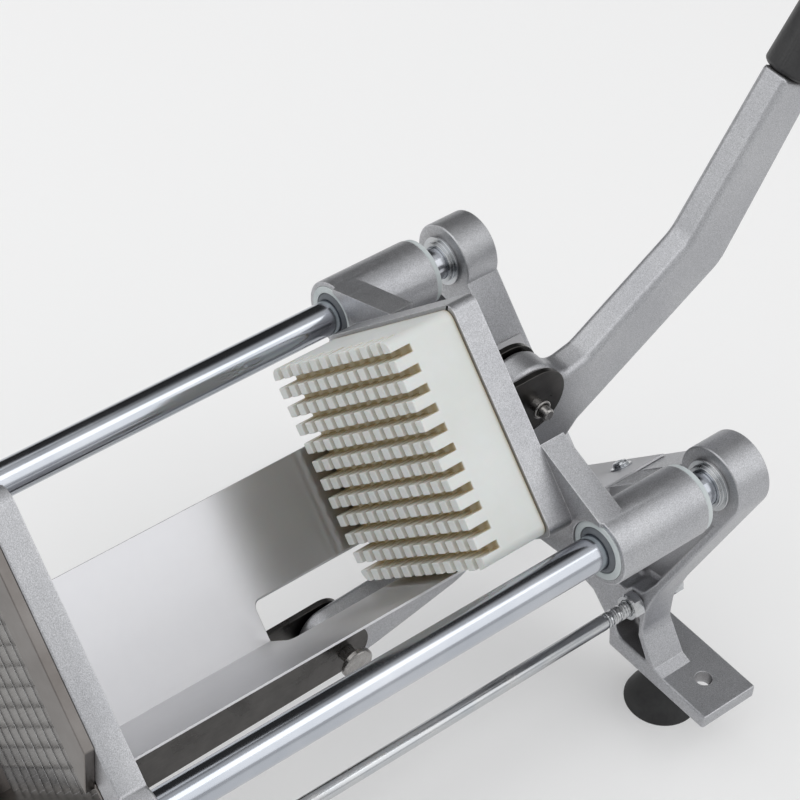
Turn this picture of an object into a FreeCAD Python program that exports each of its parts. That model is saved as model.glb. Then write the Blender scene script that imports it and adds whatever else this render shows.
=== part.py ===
import FreeCAD, Part
import math
import os
import re
import Sketcher

# A bench-top french fry cutter: two cast frames on suction feet, tied by two guide rods and two tie rods,
# a folded V trough, a diamond-set blade cartridge, and a finger block that a cast lever drives along the rods.
# Lengths are millimetres. X is across, Y runs from the blades (low) to the lever (high), Z is up.
# Every piece is drawn about the core line: X = 0, Y = 0 at the back face of the front frame, Z = 0 on the
# centre of the cutting diamond. Its Placement then lifts it onto the bench.

doc = FreeCAD.newDocument("french_fry_cutter")
sizes = doc.addObject("Spreadsheet::Sheet", "sizes")
places = doc.addObject("Spreadsheet::Sheet", "places")

DRIVING = {
    # cutting grid
    "cut_pitch": 9.525, "cut_count": 12, "slot_width": 3.8, "finger_reach": 10.8, "block_depth": 25.9,
    "block_round": 5, "blade_thick": 0.5, "blade_depth": 4.3, "blade_gap": 0.3,
    "sleeve_wall": 2, "sleeve_run": 1, "sleeve_fit": 0.3, "ring_plate": 5, "ring_width": 18,
    "thumb_reach": 14, "thumb_rad": 9, "thumb_neck": 5, "thumb_tip": 3,
    # rods and frames
    "rod_dia": 17, "rod_corner_gap": 6.1777, "rod_drop": 5, "rod_run": 0.05, "boss_wall": 10.5,
    "boss_bore_fit": 0.1, "front_thick": 13.5, "rear_thick": 20, "rear_face": 316, "pocket_floor": 5.5,
    "seat_rim": 6.4, "rim_wall": 3.5, "waist_out": 73, "waist_in": 51, "waist_top": 95, "waist_low": 131,
    "rod_head_rad": 6.5, "rod_head_tall": 5.9, "rod_screw_rad": 4, "rod_screw_fit": 0.3, "washer_rad": 11,
    "washer_thick": 1.6, "washer_fit": 0.2,
    "arch_top": 124, "foot_out": 122, "foot_in": 53, "foot_level": 157, "foot_thick": 8, "foot_depth": 35.5,
    "foot_hole_x": 103, "foot_hole_dia": 9, "foot_toe": 6, "screw_seat": 4,
    "tie_x": 66, "tie_drop": 114, "tie_dia": 8, "tie_boss": 7.2, "nut_flats": 13, "nut_thick": 6.5, "tie_tail": 3,
    "tie_fit": 0.3,
    # trough
    "sheet": 1.2, "fold_gap": 1.15, "wing_reach": 73.5, "trough_past": 16.5, "trough_start": 0.3,
    "window_half": 14.5, "window_front": 138, "window_back": 306, "window_round": 3.5, "ledge": 12,
    "trough_screw_run": 53, "trough_screw_in": 5, "trough_screw_rad": 2, "trough_screw_deep": 8,
    "trough_head_rad": 4, "trough_washer_rad": 5.5, "trough_washer_thick": 0.8, "small_fit": 0.1,
    # pusher
    "tip_rest": 194.3, "stroke": 203, "plate_depth": 13.5, "carriage_wall": 2.5, "carriage_gap": 1.5,
    "carriage_run": 52.4, "ear_depth": 14, "ear_x": 53, "bush_wall_deep": 3.5, "bush_run": 20, "bush_seat": 0.02,
    "bush_step": 2, "bush_lip": 0.4, "flange_thick": 3, "flange_back": 0.6, "rod_bore_fit": 1.5,
    "block_screw_z": 58, "block_screw_bite": 12, "screw_rad": 2.5, "block_head_rad": 5, "block_head_tall": 3.6,
    "seal_wall": 3, "seal_proud": 1.6, "seal_deep": 3, "stop_wall": 4.5, "stop_step": 2.5, "stop_thick": 4,
    "lug_flange": 15, "lug_screw_in": 8, "lug_screw_z": 11, "lug_head_rad": 4.6, "lug_head_tall": 3.2,
    # lever and links
    "hub_y": 281.5, "hub_rad": 18, "lever_thick": 16, "lever_depth": 34, "plate_gap": 0.9, "link_sheet": 3,
    "knee_y": -107, "knee_z": -104, "knee_rad": 15, "lug_rad": 18.5, "pin_small": 6.5, "pin_large": 8,
    "pin_head": 17, "pin_chamfer": 0.7, "pin_out": 10.4, "ring_wire": 0.75, "ring_play": 1.1, "bush_wall": 2.2, "link_half": 14, "anchor_y": 19, "anchor_z": -108, "anchor_ear": 6,
    "anchor_gap": 3.5, "anchor_rad": 12, "bend_y": 109.5, "bend_z": 35, "first_angle": 34, "second_angle": 61,
    "second_run": 215, "grip_run": 120, "grip_rad": 14.5, "press_gap": 0.05,
    "tang_half": 6, "tang_thick": 8, "tang_short": 8, "elbow_round": 22, "sweep_round": 30, "crook_round": 10,
    # feet
    "cup_x": 79, "cup_rad": 19.5, "cup_neck": 9, "cup_height": 30, "cup_rim": 5, "cup_thread": 12,
    "stud_dia": 8, "stud_bite": 6.6, "stud_fit": 0.05,
}

DERIVED = {
    "half_side": "=sizes.cut_pitch * sizes.cut_count / 2",
    "rod_x": "=half_side * sqrt(2) + sizes.rod_corner_gap + sizes.rod_dia / 2",
    "boss_rad": "=sizes.rod_dia / 2 + sizes.boss_wall",
    "seal_dia": "=sizes.rod_dia + sizes.seal_wall * 2",
    "bush_dia": "=seal_dia + sizes.bush_wall_deep * 2",
    "carriage_rad": "=bush_dia / 2 + sizes.carriage_wall",
    "stop_dia": "=sizes.rod_dia + sizes.stop_wall * 2",
    "block_half": "=half_side - sizes.slot_width / 2",
    "trough_end": "=sizes.rear_face + sizes.trough_past",
    "trough_screw_y": "=sizes.rear_face + sizes.trough_screw_in",
    "sleeve_in": "=half_side + sizes.sleeve_run",
    "sleeve_out": "=sleeve_in + sizes.sleeve_wall",
    "opening": "=sleeve_out + sizes.sleeve_fit",
    "ring_out": "=sleeve_in + sizes.ring_width",
    "wing_in": "=half_side + sizes.fold_gap",
    "wing_out": "=wing_in + sizes.sheet",
    "slot_floor": "=sizes.tip_rest + sizes.finger_reach",
    "block_back": "=slot_floor + sizes.block_depth",
    "plate_back": "=block_back + sizes.plate_depth",
    "boss_front": "=plate_back + sizes.carriage_gap",
    "boss_back": "=boss_front + sizes.carriage_run",
    "rear_back": "=sizes.rear_face + sizes.rear_thick",
    "knee_world_y": "=sizes.hub_y + sizes.knee_y",
    "link_length": "=sqrt((knee_world_y - sizes.anchor_y)^2 + (sizes.knee_z - sizes.anchor_z)^2)",
    "link_tilt": "=atan((sizes.knee_z - sizes.anchor_z) / (knee_world_y - sizes.anchor_y))",
    "lever_half": "=sizes.lever_thick / 2",
    "link_in": "=lever_half + sizes.plate_gap",
    "link_out": "=link_in + sizes.link_sheet",
    "ear_in": "=link_out + sizes.anchor_gap",
    "ear_out": "=ear_in + sizes.anchor_ear",
    "tip_y": "=sizes.bend_y + sizes.second_run * cos(sizes.second_angle)",
    "rear_end": "=sizes.hub_y + tip_y + sizes.grip_rad",
    "front_foot_y": "=sizes.foot_toe - sizes.foot_depth / 2",
    "front_end": "=-sizes.front_thick - sizes.ring_plate - sizes.thumb_reach",
    "core_y": "=-(front_end + rear_end) / 2",
    "core_height": "=sizes.foot_level + sizes.cup_height",
}


def fill(sheet, table):
    for row, (alias, value) in enumerate(table.items(), start=1):
        sheet.set(f"A{row}", alias)
        sheet.set(f"B{row}", str(value))
        sheet.setAlias(f"B{row}", alias)


fill(sizes, DRIVING)
doc.recompute()
fill(places, DERIVED)
doc.recompute()


def full(text):
    # Write the sheet's name before every size that an expression uses.
    def prefix(match):
        word = match.group(0)
        if word in DRIVING:
            return "sizes." + word
        if word in DERIVED:
            return "places." + word
        return word
    return re.sub(r"[a-z_]+", prefix, str(text))


def value(alias):
    sheet = sizes if alias in DRIVING else places
    return float(sheet.get(alias))


def bind(item, prop, text):
    item.setExpression(prop, full(text))


def seat(item, x="0", y="0", z="0"):
    # Put a piece on the core line and lift it onto the bench.
    bind(item, "Placement.Base.x", x)
    bind(item, "Placement.Base.y", f"core_y + ({y})")
    bind(item, "Placement.Base.z", f"core_height + ({z})")
    return item


def new_body(label, x="0", y="0", z="0"):
    body = doc.addObject("PartDesign::Body", label)
    body.Label = label
    return seat(body, x, y, z)


def new_sketch(body, name, role, lift="0"):
    sketch = body.newObject("Sketcher::SketchObject", name)
    plane = [item for item in body.Origin.OriginFeatures if item.Role == role][0]
    sketch.AttachmentSupport = (plane, [""])
    sketch.MapMode = "FlatFace"
    bind(sketch, "AttachmentOffset.Base.z", lift)
    return sketch


def hold(sketch, kind, geometry, vertex, start, text):
    # Tie one coordinate of a sketch point to an expression.
    index = sketch.addConstraint(Sketcher.Constraint(kind, -1, 1, geometry, vertex, start))
    bind(sketch, f"Constraints[{index}]", text)


def polygon(sketch, points):
    # Closed outline whose corners are pairs of expressions; the start shape is only a stand-in.
    first = sketch.GeometryCount
    count = len(points)
    spread = 40.0
    start = [FreeCAD.Vector(spread * math.cos(0.3 + 2 * math.pi * i / count),
                            spread * math.sin(0.3 + 2 * math.pi * i / count), 0) for i in range(count)]
    for i in range(count):
        sketch.addGeometry(Part.LineSegment(start[i], start[(i + 1) % count]), False)
    for i in range(count):
        after = first + (i + 1) % count
        sketch.addConstraint(Sketcher.Constraint("Coincident", first + i, 2, after, 1))
    for i, (across, up) in enumerate(points):
        hold(sketch, "DistanceX", first + i, 1, start[i].x, across)
        hold(sketch, "DistanceY", first + i, 1, start[i].y, up)


def circle(sketch, across, up, radius):
    index = sketch.GeometryCount
    start = FreeCAD.Vector(10.0, 10.0, 0)
    sketch.addGeometry(Part.Circle(start, FreeCAD.Vector(0, 0, 1), 3.0), False)
    rule = sketch.addConstraint(Sketcher.Constraint("Radius", index, 3.0))
    bind(sketch, f"Constraints[{rule}]", radius)
    hold(sketch, "DistanceX", index, 3, start.x, across)
    hold(sketch, "DistanceY", index, 3, start.y, up)


def feature(body, kind, name, sketch, length, back=False):
    item = body.newObject(kind, name)
    item.Profile = sketch
    item.Type = 0
    bind(item, "Length", length)
    item.Reversed = back
    sketch.Visibility = False
    doc.recompute()
    return item


def pad_y(body, name, start, length, shapes):
    # Material from Y = start, growing towards +Y. shapes are polygons (lists) or circles (tuples of three).
    sketch = draw(body, name, "XZ_Plane", f"-({start})", shapes)
    return feature(body, "PartDesign::Pad", name, sketch, length, back=True)


def cut_y(body, name, start, length, shapes):
    sketch = draw(body, name, "XZ_Plane", f"-({start})", shapes)
    return checked_cut(body, feature(body, "PartDesign::Pocket", name, sketch, length, back=False))


def pad_x(body, name, start, length, shapes):
    sketch = draw(body, name, "YZ_Plane", start, shapes)
    return feature(body, "PartDesign::Pad", name, sketch, length)


def cut_x(body, name, start, length, shapes):
    sketch = draw(body, name, "YZ_Plane", start, shapes)
    return checked_cut(body, feature(body, "PartDesign::Pocket", name, sketch, length, back=True))


def pad_z(body, name, start, length, shapes):
    sketch = draw(body, name, "XY_Plane", start, shapes)
    return feature(body, "PartDesign::Pad", name, sketch, length)


def cut_z(body, name, start, length, shapes):
    sketch = draw(body, name, "XY_Plane", start, shapes)
    return checked_cut(body, feature(body, "PartDesign::Pocket", name, sketch, length, back=True))


def draw(body, name, role, lift, shapes):
    sketch = new_sketch(body, name + "_sketch", role, lift)
    for shape in shapes:
        if isinstance(shape, tuple):
            circle(sketch, *shape)
        else:
            polygon(sketch, shape)
    return sketch


def checked_cut(body, item):
    # A cut that points away from the solid removes nothing and shows no error, so compare the volumes.
    if item.Shape.Volume > item.BaseFeature.Shape.Volume - 1e-3:
        raise RuntimeError(f"{body.Label}: {item.Name} removes nothing")
    return item


def box_shape(left, low, right, high):
    return [(left, low), (right, low), (right, high), (left, high)]


def turned(label, along, profile, x="0", y="0", z="0"):
    # A round piece turned about X, Y or Z; profile holds pairs of (radius, place along the axis).
    body = new_body(label, x, y, z)
    role, axis = {"X": ("XZ_Plane", "H_Axis"), "Y": ("XY_Plane", "V_Axis"), "Z": ("XZ_Plane", "V_Axis")}[along]
    sketch = new_sketch(body, label + "_profile", role)
    polygon(sketch, [(run, radius) if along == "X" else (radius, run) for radius, run in profile])
    spin = body.newObject("PartDesign::Revolution", label + "_turned")
    spin.Profile = sketch
    spin.ReferenceAxis = (sketch, [axis])
    spin.Angle = 360
    sketch.Visibility = False
    doc.recompute()
    return body


def rod_profile(radius, start, end, chamfer="0.8"):
    return [("0", start), (f"{radius} - {chamfer}", start), (radius, f"({start}) + {chamfer}"),
            (radius, f"({end}) - {chamfer}"), (f"{radius} - {chamfer}", end), ("0", end)]


def tube_profile(inner, outer, start, end):
    return [(inner, start), (outer, start), (outer, end), (inner, end)]


def group(label, members):
    item = doc.addObject("Part::Compound", label)
    item.Label = label
    item.Links = members
    return item


def round_edges(body, name, radius, test):
    # Round the edges of the newest feature that pass a test of their midpoint and direction.
    base = body.Tip
    names = []
    for index, edge in enumerate(base.Shape.Edges, start=1):
        middle = edge.valueAt((edge.FirstParameter + edge.LastParameter) / 2)
        if test(middle, edge):
            names.append(f"Edge{index}")
    if not names:
        raise RuntimeError(f"{body.Label}: no edge for {name}")
    item = body.newObject("PartDesign::Fillet", name)
    item.Base = (base, names)
    bind(item, "Radius", radius)
    doc.recompute()
    return item


def number(text):
    return float(sizes.evalExpression(full(text)))


def round_corners(body, name, radius, corners, plane="XZ"):
    # Round the edges that stand on the given corners of an outline drawn in the XZ or the YZ plane.
    axis = AXIS_Y if plane == "XZ" else AXIS_X
    spots = [(number(across), number(up)) for across, up in corners]

    def on_corner(middle, edge):
        across = middle.x if plane == "XZ" else middle.y
        return runs_along(edge, axis) and any(
            math.hypot(across - spot[0], middle.z - spot[1]) < 0.05 for spot in spots)

    return round_edges(body, name, radius, on_corner)


def runs_along(edge, axis):
    # True for a straight edge that is parallel to an axis.
    if not isinstance(edge.Curve, Part.Line):
        return False
    return abs(edge.Curve.Direction.dot(axis)) > 0.999


AXIS_X = FreeCAD.Vector(1, 0, 0)
AXIS_Y = FreeCAD.Vector(0, 1, 0)
SIDES = {"left": -1, "right": 1}
nodes = []


def keep(*items):
    nodes.extend(items)


def mirrored(points):
    # Right half of an outline, from the top of the centre line to its foot, closed by its mirror image.
    left = [(f"-({across})", up) for across, up in reversed(points) if across != "0"]
    return points + left


# Lower half that both frames share: outer rim, waist, foot and arch.
LEGS = [
    ("rod_x + boss_rad * 0.92", "-rod_drop - boss_rad * 0.39"),
    ("waist_out + 6", "-waist_top"), ("waist_out", "-(waist_top + 19)"), ("waist_out", "-waist_low"),
    ("waist_out + 12", "-(foot_level - foot_thick - 2)"), ("waist_out + 18", "-(foot_level - foot_thick)"),
    ("foot_out", "-(foot_level - foot_thick)"),
    ("foot_out", "-foot_level"), ("foot_in", "-foot_level"), ("waist_in", "-(foot_level - 14)"),
    ("waist_in - 14", "-(arch_top + 7)"), ("0", "-arch_top"),
]
ARM_POCKET_LOW = [
    ("waist_out + 5.5 - rim_wall", "-(waist_top - 2)"), ("tie_x + 2.5", "-(tie_drop - tie_boss - 1.5)"),
    ("tie_x - tie_boss * 0.7", "-(tie_drop - tie_boss)"), ("tie_x - tie_boss - 1.5", "-(tie_drop - 2)"),
    ("tie_x - tie_boss - 9", "-(tie_drop - 2)"), ("22", "-(arch_top - 6)"),
]
LEG_POCKET = [
    ("waist_in + rim_wall", "-(tie_drop + tie_boss + 1.5)"), ("waist_out - rim_wall", "-(tie_drop + tie_boss + 1.5)"),
    ("waist_out - rim_wall + 1", "-(waist_low + 3)"), ("waist_out + 6", "-(foot_level - foot_thick - 2)"),
    ("foot_in + rim_wall + 2", "-(foot_level - foot_thick - 2)"), ("waist_in + rim_wall", "-(foot_level - 16)"),
]


def flipped(points):
    return [(f"-({across})", up) for across, up in points]


def both_sides(points):
    return [points, flipped(points)]


def feet_and_ties(body, start, thick, toe):
    # Foot flanges, tie rod bosses and their holes, the same on both frames.
    pad = box_shape("foot_in", f"({start}) - ({toe})", "foot_out", f"({start}) - ({toe}) + foot_depth")
    left = [(f"-({across})", up) for across, up in pad]
    pad_z(body, "foot_flanges", "-foot_level", "foot_thick", [pad, left])
    bosses = [(f"{side} * tie_x", "-tie_drop", "tie_boss") for side in SIDES.values()]
    pad_y(body, "tie_bosses", start, thick, bosses)
    holes = [(f"{side} * tie_x", "-tie_drop", "tie_dia / 2 + tie_fit") for side in SIDES.values()]
    cut_y(body, "tie_holes", start, thick, holes)
    feet = [(f"{side} * foot_hole_x", f"({start}) - ({toe}) + foot_depth / 2", "foot_hole_dia / 2")
            for side in SIDES.values()]
    cut_z(body, "foot_holes", "-(foot_level + 1)", "foot_thick + 3", feet)
    sockets = [(f"{side} * cup_x", f"({start}) - ({toe}) + foot_depth / 2", "stud_dia / 2 + stud_fit")
               for side in SIDES.values()]
    cut_z(body, "stud_sockets", "-(foot_level + 1)", "stud_bite + 1.3", sockets)


def front_frame():
    body = new_body("front_frame")
    outer = [("0", "ring_out * sqrt(2)"), ("ring_out * sqrt(2) - 11", "11")]
    pad_y(body, "casting", "-front_thick", "front_thick", [mirrored(outer + LEGS)])
    bosses = [(f"{side} * rod_x", "-rod_drop", "boss_rad") for side in SIDES.values()]
    pad_y(body, "rod_bosses", "-front_thick", "front_thick", bosses)
    feet_and_ties(body, "-front_thick", "front_thick", "foot_depth - front_thick - foot_toe")
    diamond = [("0", "opening * sqrt(2)"), ("opening * sqrt(2)", "0"), ("0", "-opening * sqrt(2)"),
               ("-opening * sqrt(2)", "0")]
    cut_y(body, "blade_opening", "-front_thick", "front_thick", [diamond])
    seats = [(f"{side} * rod_x", "-rod_drop", "rod_dia / 2 + boss_bore_fit") for side in SIDES.values()]
    cut_y(body, "rod_sockets", "-(front_thick - screw_seat)", "front_thick", seats)
    holes = [(f"{side} * rod_x", "-rod_drop", "rod_screw_rad + rod_screw_fit") for side in SIDES.values()]
    cut_y(body, "rod_screw_holes", "-front_thick", "front_thick", holes)
    arm = [("ring_out * sqrt(2) - 34", "-47"), ("ring_out * sqrt(2) - 15", "-28"),
           ("ring_out * sqrt(2) - 14", "-40")] + ARM_POCKET_LOW[:5] + [("35", "-88")]
    cut_y(body, "arm_pockets", "-front_thick", "front_thick - pocket_floor", both_sides(arm))
    cut_y(body, "leg_pockets", "-front_thick", "front_thick - pocket_floor", both_sides(LEG_POCKET))
    ear = [("-1", "anchor_z + anchor_rad"), ("anchor_y", "anchor_z + anchor_rad"),
           ("anchor_y", "anchor_z - anchor_rad"), ("-1", "anchor_z - anchor_rad")]
    for name, start in (("right", "ear_in"), ("left", "-ear_out")):
        pad_x(body, f"link_ear_{name}", start, "anchor_ear", [ear])
        pad_x(body, f"link_ear_end_{name}", start, "anchor_ear", [("anchor_y", "anchor_z", "anchor_rad")])
    cut_x(body, "anchor_hole", "-(ear_out + 1)", "ear_out * 2 + 2", [("anchor_y", "anchor_z", "pin_large / 2 + small_fit")])
    low = "-wing_out * sqrt(2)"
    for name, side in SIDES.items():
        slab = [(f"{side} * 22", f"{low} + 22 - 0.2"), (f"{side} * 40", f"{low} + 40 - 0.2"),
                (f"{side} * 40", f"{low} + 30"), (f"{side} * 22", f"{low} + 12")]
        pad_y(body, f"trough_ledge_{name}", "0", "ledge", [slab])
    holes = [("0", f"{sign} * (opening + (ring_out - opening) / 2) * sqrt(2)", "screw_rad + small_fit")
             for sign in (-1, 1)]
    cut_y(body, "thumb_screw_holes", "-front_thick", "front_thick", holes)
    round_edges(body, "soft_crown", "9", lambda p, e: runs_along(e, AXIS_Y) and abs(p.x) < 1 and p.z > 90)
    keep(body)


def rear_frame():
    body = new_body("rear_frame")
    seat_low = "-(wing_out + 0.15) * sqrt(2)"
    outer = [("0", seat_low), ("rod_x - 10", f"{seat_low} + rod_x - 10")]
    pad_y(body, "casting", "rear_face", "rear_thick", [mirrored(outer + LEGS)])
    bosses = [(f"{side} * rod_x", "-rod_drop", "boss_rad") for side in SIDES.values()]
    pad_y(body, "rod_bosses", "rear_face", "rear_thick", bosses)
    feet_and_ties(body, "rear_face", "rear_thick", "0")
    seats = [(f"{side} * rod_x", "-rod_drop", "rod_dia / 2 + boss_bore_fit") for side in SIDES.values()]
    cut_y(body, "rod_sockets", "rear_face", "rear_thick - screw_seat", seats)
    arm = [("22", f"{seat_low} + 22 - seat_rim * sqrt(2)"),
           ("rod_x - boss_rad - 3", f"{seat_low} + rod_x - boss_rad - 3 - seat_rim * sqrt(2)"),
           ("rod_x - 9", "-rod_drop - boss_rad - 4.5"),
           ("rod_x + boss_rad * 0.92 - 7.5 - rim_wall", "-rod_drop - boss_rad - 3.5")] + ARM_POCKET_LOW
    cut_y(body, "arm_pockets", "rear_face", "rear_thick - pocket_floor", both_sides(arm))
    cut_y(body, "leg_pockets", "rear_face", "rear_thick - pocket_floor", both_sides(LEG_POCKET))
    leaning_holes(body, "trough_screw_holes", "trough_screw_rad + small_fit", "1", "trough_screw_deep + 1.5")
    keep(body)


def guide_rods():
    for name, side in SIDES.items():
        start = "-(front_thick - screw_seat)"
        end = "rear_back - screw_seat"
        keep(turned(f"guide_rod_{name}", "Y", rod_profile("rod_dia / 2", start, end), f"{side} * rod_x", "0",
                    "-rod_drop"))


def rod_end_pieces():
    screws = []
    rings = []
    for name, side in SIDES.items():
        x = f"{side} * rod_x"
        under = "-front_thick - washer_thick"
        top = f"{under} - rod_head_tall"
        screws.append(turned(f"rod_screw_{name}", "Y", [
            ("0", top), ("rod_head_rad - 1.1", top), ("rod_head_rad", f"{top} + 1.1"), ("rod_head_rad", under),
            ("rod_screw_rad", under), ("rod_screw_rad", "-(front_thick - screw_seat)"),
            ("0", "-(front_thick - screw_seat)")], x, "0", "-rod_drop"))
        rings.append(turned(f"rod_washer_{name}", "Y", tube_profile(
            "rod_screw_rad + washer_fit", "washer_rad", under, "-front_thick"), x, "0", "-rod_drop"))
        bore = "rod_dia / 2 + rod_run"
        face = "rear_face - stop_thick"
        step = "rear_face - stop_thick * 0.45"
        keep(turned(f"stop_ring_{name}", "Y", [
            (bore, face), ("stop_dia / 2 - stop_step", face), ("stop_dia / 2 - stop_step", step),
            ("stop_dia / 2", step), ("stop_dia / 2", "rear_face"), (bore, "rear_face")], x, "0", "-rod_drop"))
    keep(group("rod_end_screws", screws), group("rod_end_washers", rings))


def hex_nut(label, x, y, z):
    # Hexagon with a bore and both ends chamfered, standing on Y = y and growing towards +Y.
    body = new_body(label, x, y, z)
    across = "nut_flats / sqrt(3)"
    turns = [math.radians(60 * i) for i in range(6)]
    corners = [(f"{across} * {math.cos(turn):.6f}", f"{across} * {math.sin(turn):.6f}") for turn in turns]
    pad_y(body, label + "_hexagon", "0", "nut_thick", [corners])
    cut_y(body, label + "_bore", "0", "nut_thick", [("0", "0", "tie_dia / 2 + press_gap")])
    return body


def tie_rods():
    nuts = []
    for name, side in SIDES.items():
        start = "-front_thick - nut_thick - tie_tail"
        end = "rear_back + nut_thick + tie_tail"
        x = f"{side} * tie_x"
        keep(turned(f"tie_rod_{name}", "Y", rod_profile("tie_dia / 2", start, end), x, "0", "-tie_drop"))
        seats = {"outer_front": "-front_thick - nut_thick", "inner_front": "0",
                 "inner_rear": "rear_face - nut_thick", "outer_rear": "rear_back"}
        for spot, y in seats.items():
            nuts.append(hex_nut(f"nut_{spot}_{name}", x, y, "-tie_drop"))
    keep(group("tie_rod_nuts", nuts))


def v_trough():
    body = new_body("v_trough")
    tip_in = "(wing_reach - wing_in) / sqrt(2)"
    rise = "wing_reach / sqrt(2)"
    outline = [
        ("0", "-wing_in * sqrt(2)"), (rise, f"-wing_in * sqrt(2) + {rise}"),
        (f"{rise} + sheet / sqrt(2)", f"-wing_in * sqrt(2) + {rise} - sheet / sqrt(2)"),
        ("0", "-wing_out * sqrt(2)"),
        (f"-({rise} + sheet / sqrt(2))", f"-wing_in * sqrt(2) + {rise} - sheet / sqrt(2)"),
        (f"-({rise})", f"-wing_in * sqrt(2) + {rise}"),
    ]
    pad_y(body, "folded_sheet", "trough_start", "trough_end - trough_start", [outline])
    floor = "-wing_out * sqrt(2) - 1"
    depth = "window_half + 6"
    tall = box_shape("-window_half + window_round", "window_front", "window_half - window_round", "window_back")
    wide = box_shape("-window_half", "window_front + window_round", "window_half", "window_back - window_round")
    corners = [(f"{side} * (window_half - window_round)", end, "window_round") for side in SIDES.values()
               for end in ("window_front + window_round", "window_back - window_round")]
    cut_z(body, "window_length", floor, depth, [tall])
    cut_z(body, "window_width", floor, depth, [wide])
    cut_z(body, "window_corners", floor, depth, corners)
    leaning_holes(body, "screw_holes", "trough_screw_rad + small_fit", "1", "sheet + 2")
    keep(body)


def leaning_holes(body, name, radius, above, depth):
    # A hole square to each wing of the trough, under the trough screw, from a plane that lies in the wing.
    run = "trough_screw_run / sqrt(2)"
    for side_name, side in SIDES.items():
        sketch = new_sketch(body, f"{name}_{side_name}_sketch", "XY_Plane")
        turn = FreeCAD.Rotation(FreeCAD.Vector(0, 1, 0), -45 * side)
        sketch.AttachmentOffset = FreeCAD.Placement(FreeCAD.Vector(), turn)
        lift = f"({above}) / sqrt(2)"
        bind(sketch, "AttachmentOffset.Base.x", f"{side} * ({run} - {lift})")
        bind(sketch, "AttachmentOffset.Base.y", "trough_screw_y")
        bind(sketch, "AttachmentOffset.Base.z", f"-wing_in * sqrt(2) + {run} + {lift}")
        circle(sketch, "0", "0", radius)
        checked_cut(body, feature(body, "PartDesign::Pocket", f"{name}_{side_name}", sketch, depth))


def trough_screws():
    screws = []
    washers = []
    for name, side in SIDES.items():
        low, rest = "-trough_screw_deep", "trough_washer_thick"
        bore = "trough_screw_rad + washer_fit"
        for list_, profile, label in (
                (washers, tube_profile(bore, "trough_washer_rad", "0", rest), "washer"),
                (screws, [("0", low), ("trough_screw_rad", low), ("trough_screw_rad", rest), ("trough_head_rad", rest),
                          ("trough_head_rad", f"{rest} + 1.2"), ("trough_head_rad * 0.8", f"{rest} + 2.2"),
                          ("trough_head_rad * 0.4", f"{rest} + 2.6"), ("0", f"{rest} + 2.6")], "screw")):
            run = "trough_screw_run / sqrt(2)"
            piece = turned(f"trough_{label}_{name}", "Z", profile, f"{side} * {run}", "trough_screw_y",
                           f"-wing_in * sqrt(2) + {run}")
            piece.Placement.Rotation = FreeCAD.Rotation(FreeCAD.Vector(0, 1, 0), -45 * side)
            list_.append(piece)
    keep(group("trough_screws", screws), group("trough_washers", washers))


def blade_cartridge():
    body = new_body("blade_cartridge")
    # The two side corners of the plate are cut back so that they clear the rod screws.
    side = "ring_out * sqrt(2) - 30"
    plate = [("0", "ring_out * sqrt(2)"), (side, "30"), (side, "-30"), ("0", "-ring_out * sqrt(2)"),
             (f"-({side})", "-30"), (f"-({side})", "30")]
    pad_y(body, "face_plate", "-front_thick - ring_plate", "ring_plate", [plate])

    def diamond(half):
        return [("0", f"({half}) * sqrt(2)"), (f"({half}) * sqrt(2)", "0"), ("0", f"-({half}) * sqrt(2)"),
                (f"-({half}) * sqrt(2)", "0")]

    pad_y(body, "sleeve", "-front_thick", "front_thick", [diamond("sleeve_out")])
    cut_y(body, "throat", "-front_thick - ring_plate", "front_thick + ring_plate", [diamond("sleeve_in")])
    holes = [("0", f"{sign} * (opening + (ring_out - opening) / 2) * sqrt(2)", "screw_rad + washer_fit")
             for sign in (-1, 1)]
    cut_y(body, "screw_holes", "-front_thick - ring_plate", "ring_plate", holes)
    keep(body)


def blade_strips():
    # Two crossing layers of thin strips, one strip for each slot of the finger block.
    count = int(value("cut_count")) - 1
    layers = {"blade_strips_rising": (1, "-blade_depth - blade_gap"),
              "blade_strips_falling": (-1, "-2 * blade_depth - 2 * blade_gap")}
    for label, (lean, start) in layers.items():
        strips = []
        for index in range(count):
            offset = f"({index} - (cut_count - 2) / 2) * cut_pitch"
            strip = doc.addObject("Part::Box", f"{label}_{index + 1}")
            bind(strip, "Length", "sleeve_in * 2")
            bind(strip, "Width", "blade_depth")
            bind(strip, "Height", "blade_thick")
            turn = FreeCAD.Rotation(FreeCAD.Vector(0, 1, 0), -45 * lean)
            strip.Placement.Rotation = turn
            along = "sleeve_in / sqrt(2)"
            across = f"({offset} - blade_thick / 2) / sqrt(2)"
            bind(strip, "Placement.Base.x", f"-{along} - {lean} * {across}")
            bind(strip, "Placement.Base.y", f"core_y + {start}")
            bind(strip, "Placement.Base.z", f"core_height - {lean} * {along} + {across}")
            strips.append(strip)
        keep(group(label, strips))


def thumb_screws():
    screws = []
    for name, sign in (("low", -1), ("high", 1)):
        face = "-front_thick - ring_plate"
        screws.append(turned(f"thumb_screw_{name}", "Y", [
            ("0", f"{face} - thumb_reach"), ("thumb_rad - 1", f"{face} - thumb_reach"),
            ("thumb_rad", f"{face} - thumb_reach + 1"), ("thumb_rad", f"{face} - 5"), ("thumb_rad - 1", f"{face} - 4"),
            ("thumb_neck", f"{face} - 4"), ("thumb_neck", face), ("screw_rad", face), ("screw_rad", "-thumb_tip"),
            ("0", "-thumb_tip")],
            "0", "0", f"{sign} * (opening + (ring_out - opening) / 2) * sqrt(2)"))
    keep(group("blade_thumb_screws", screws))


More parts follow.
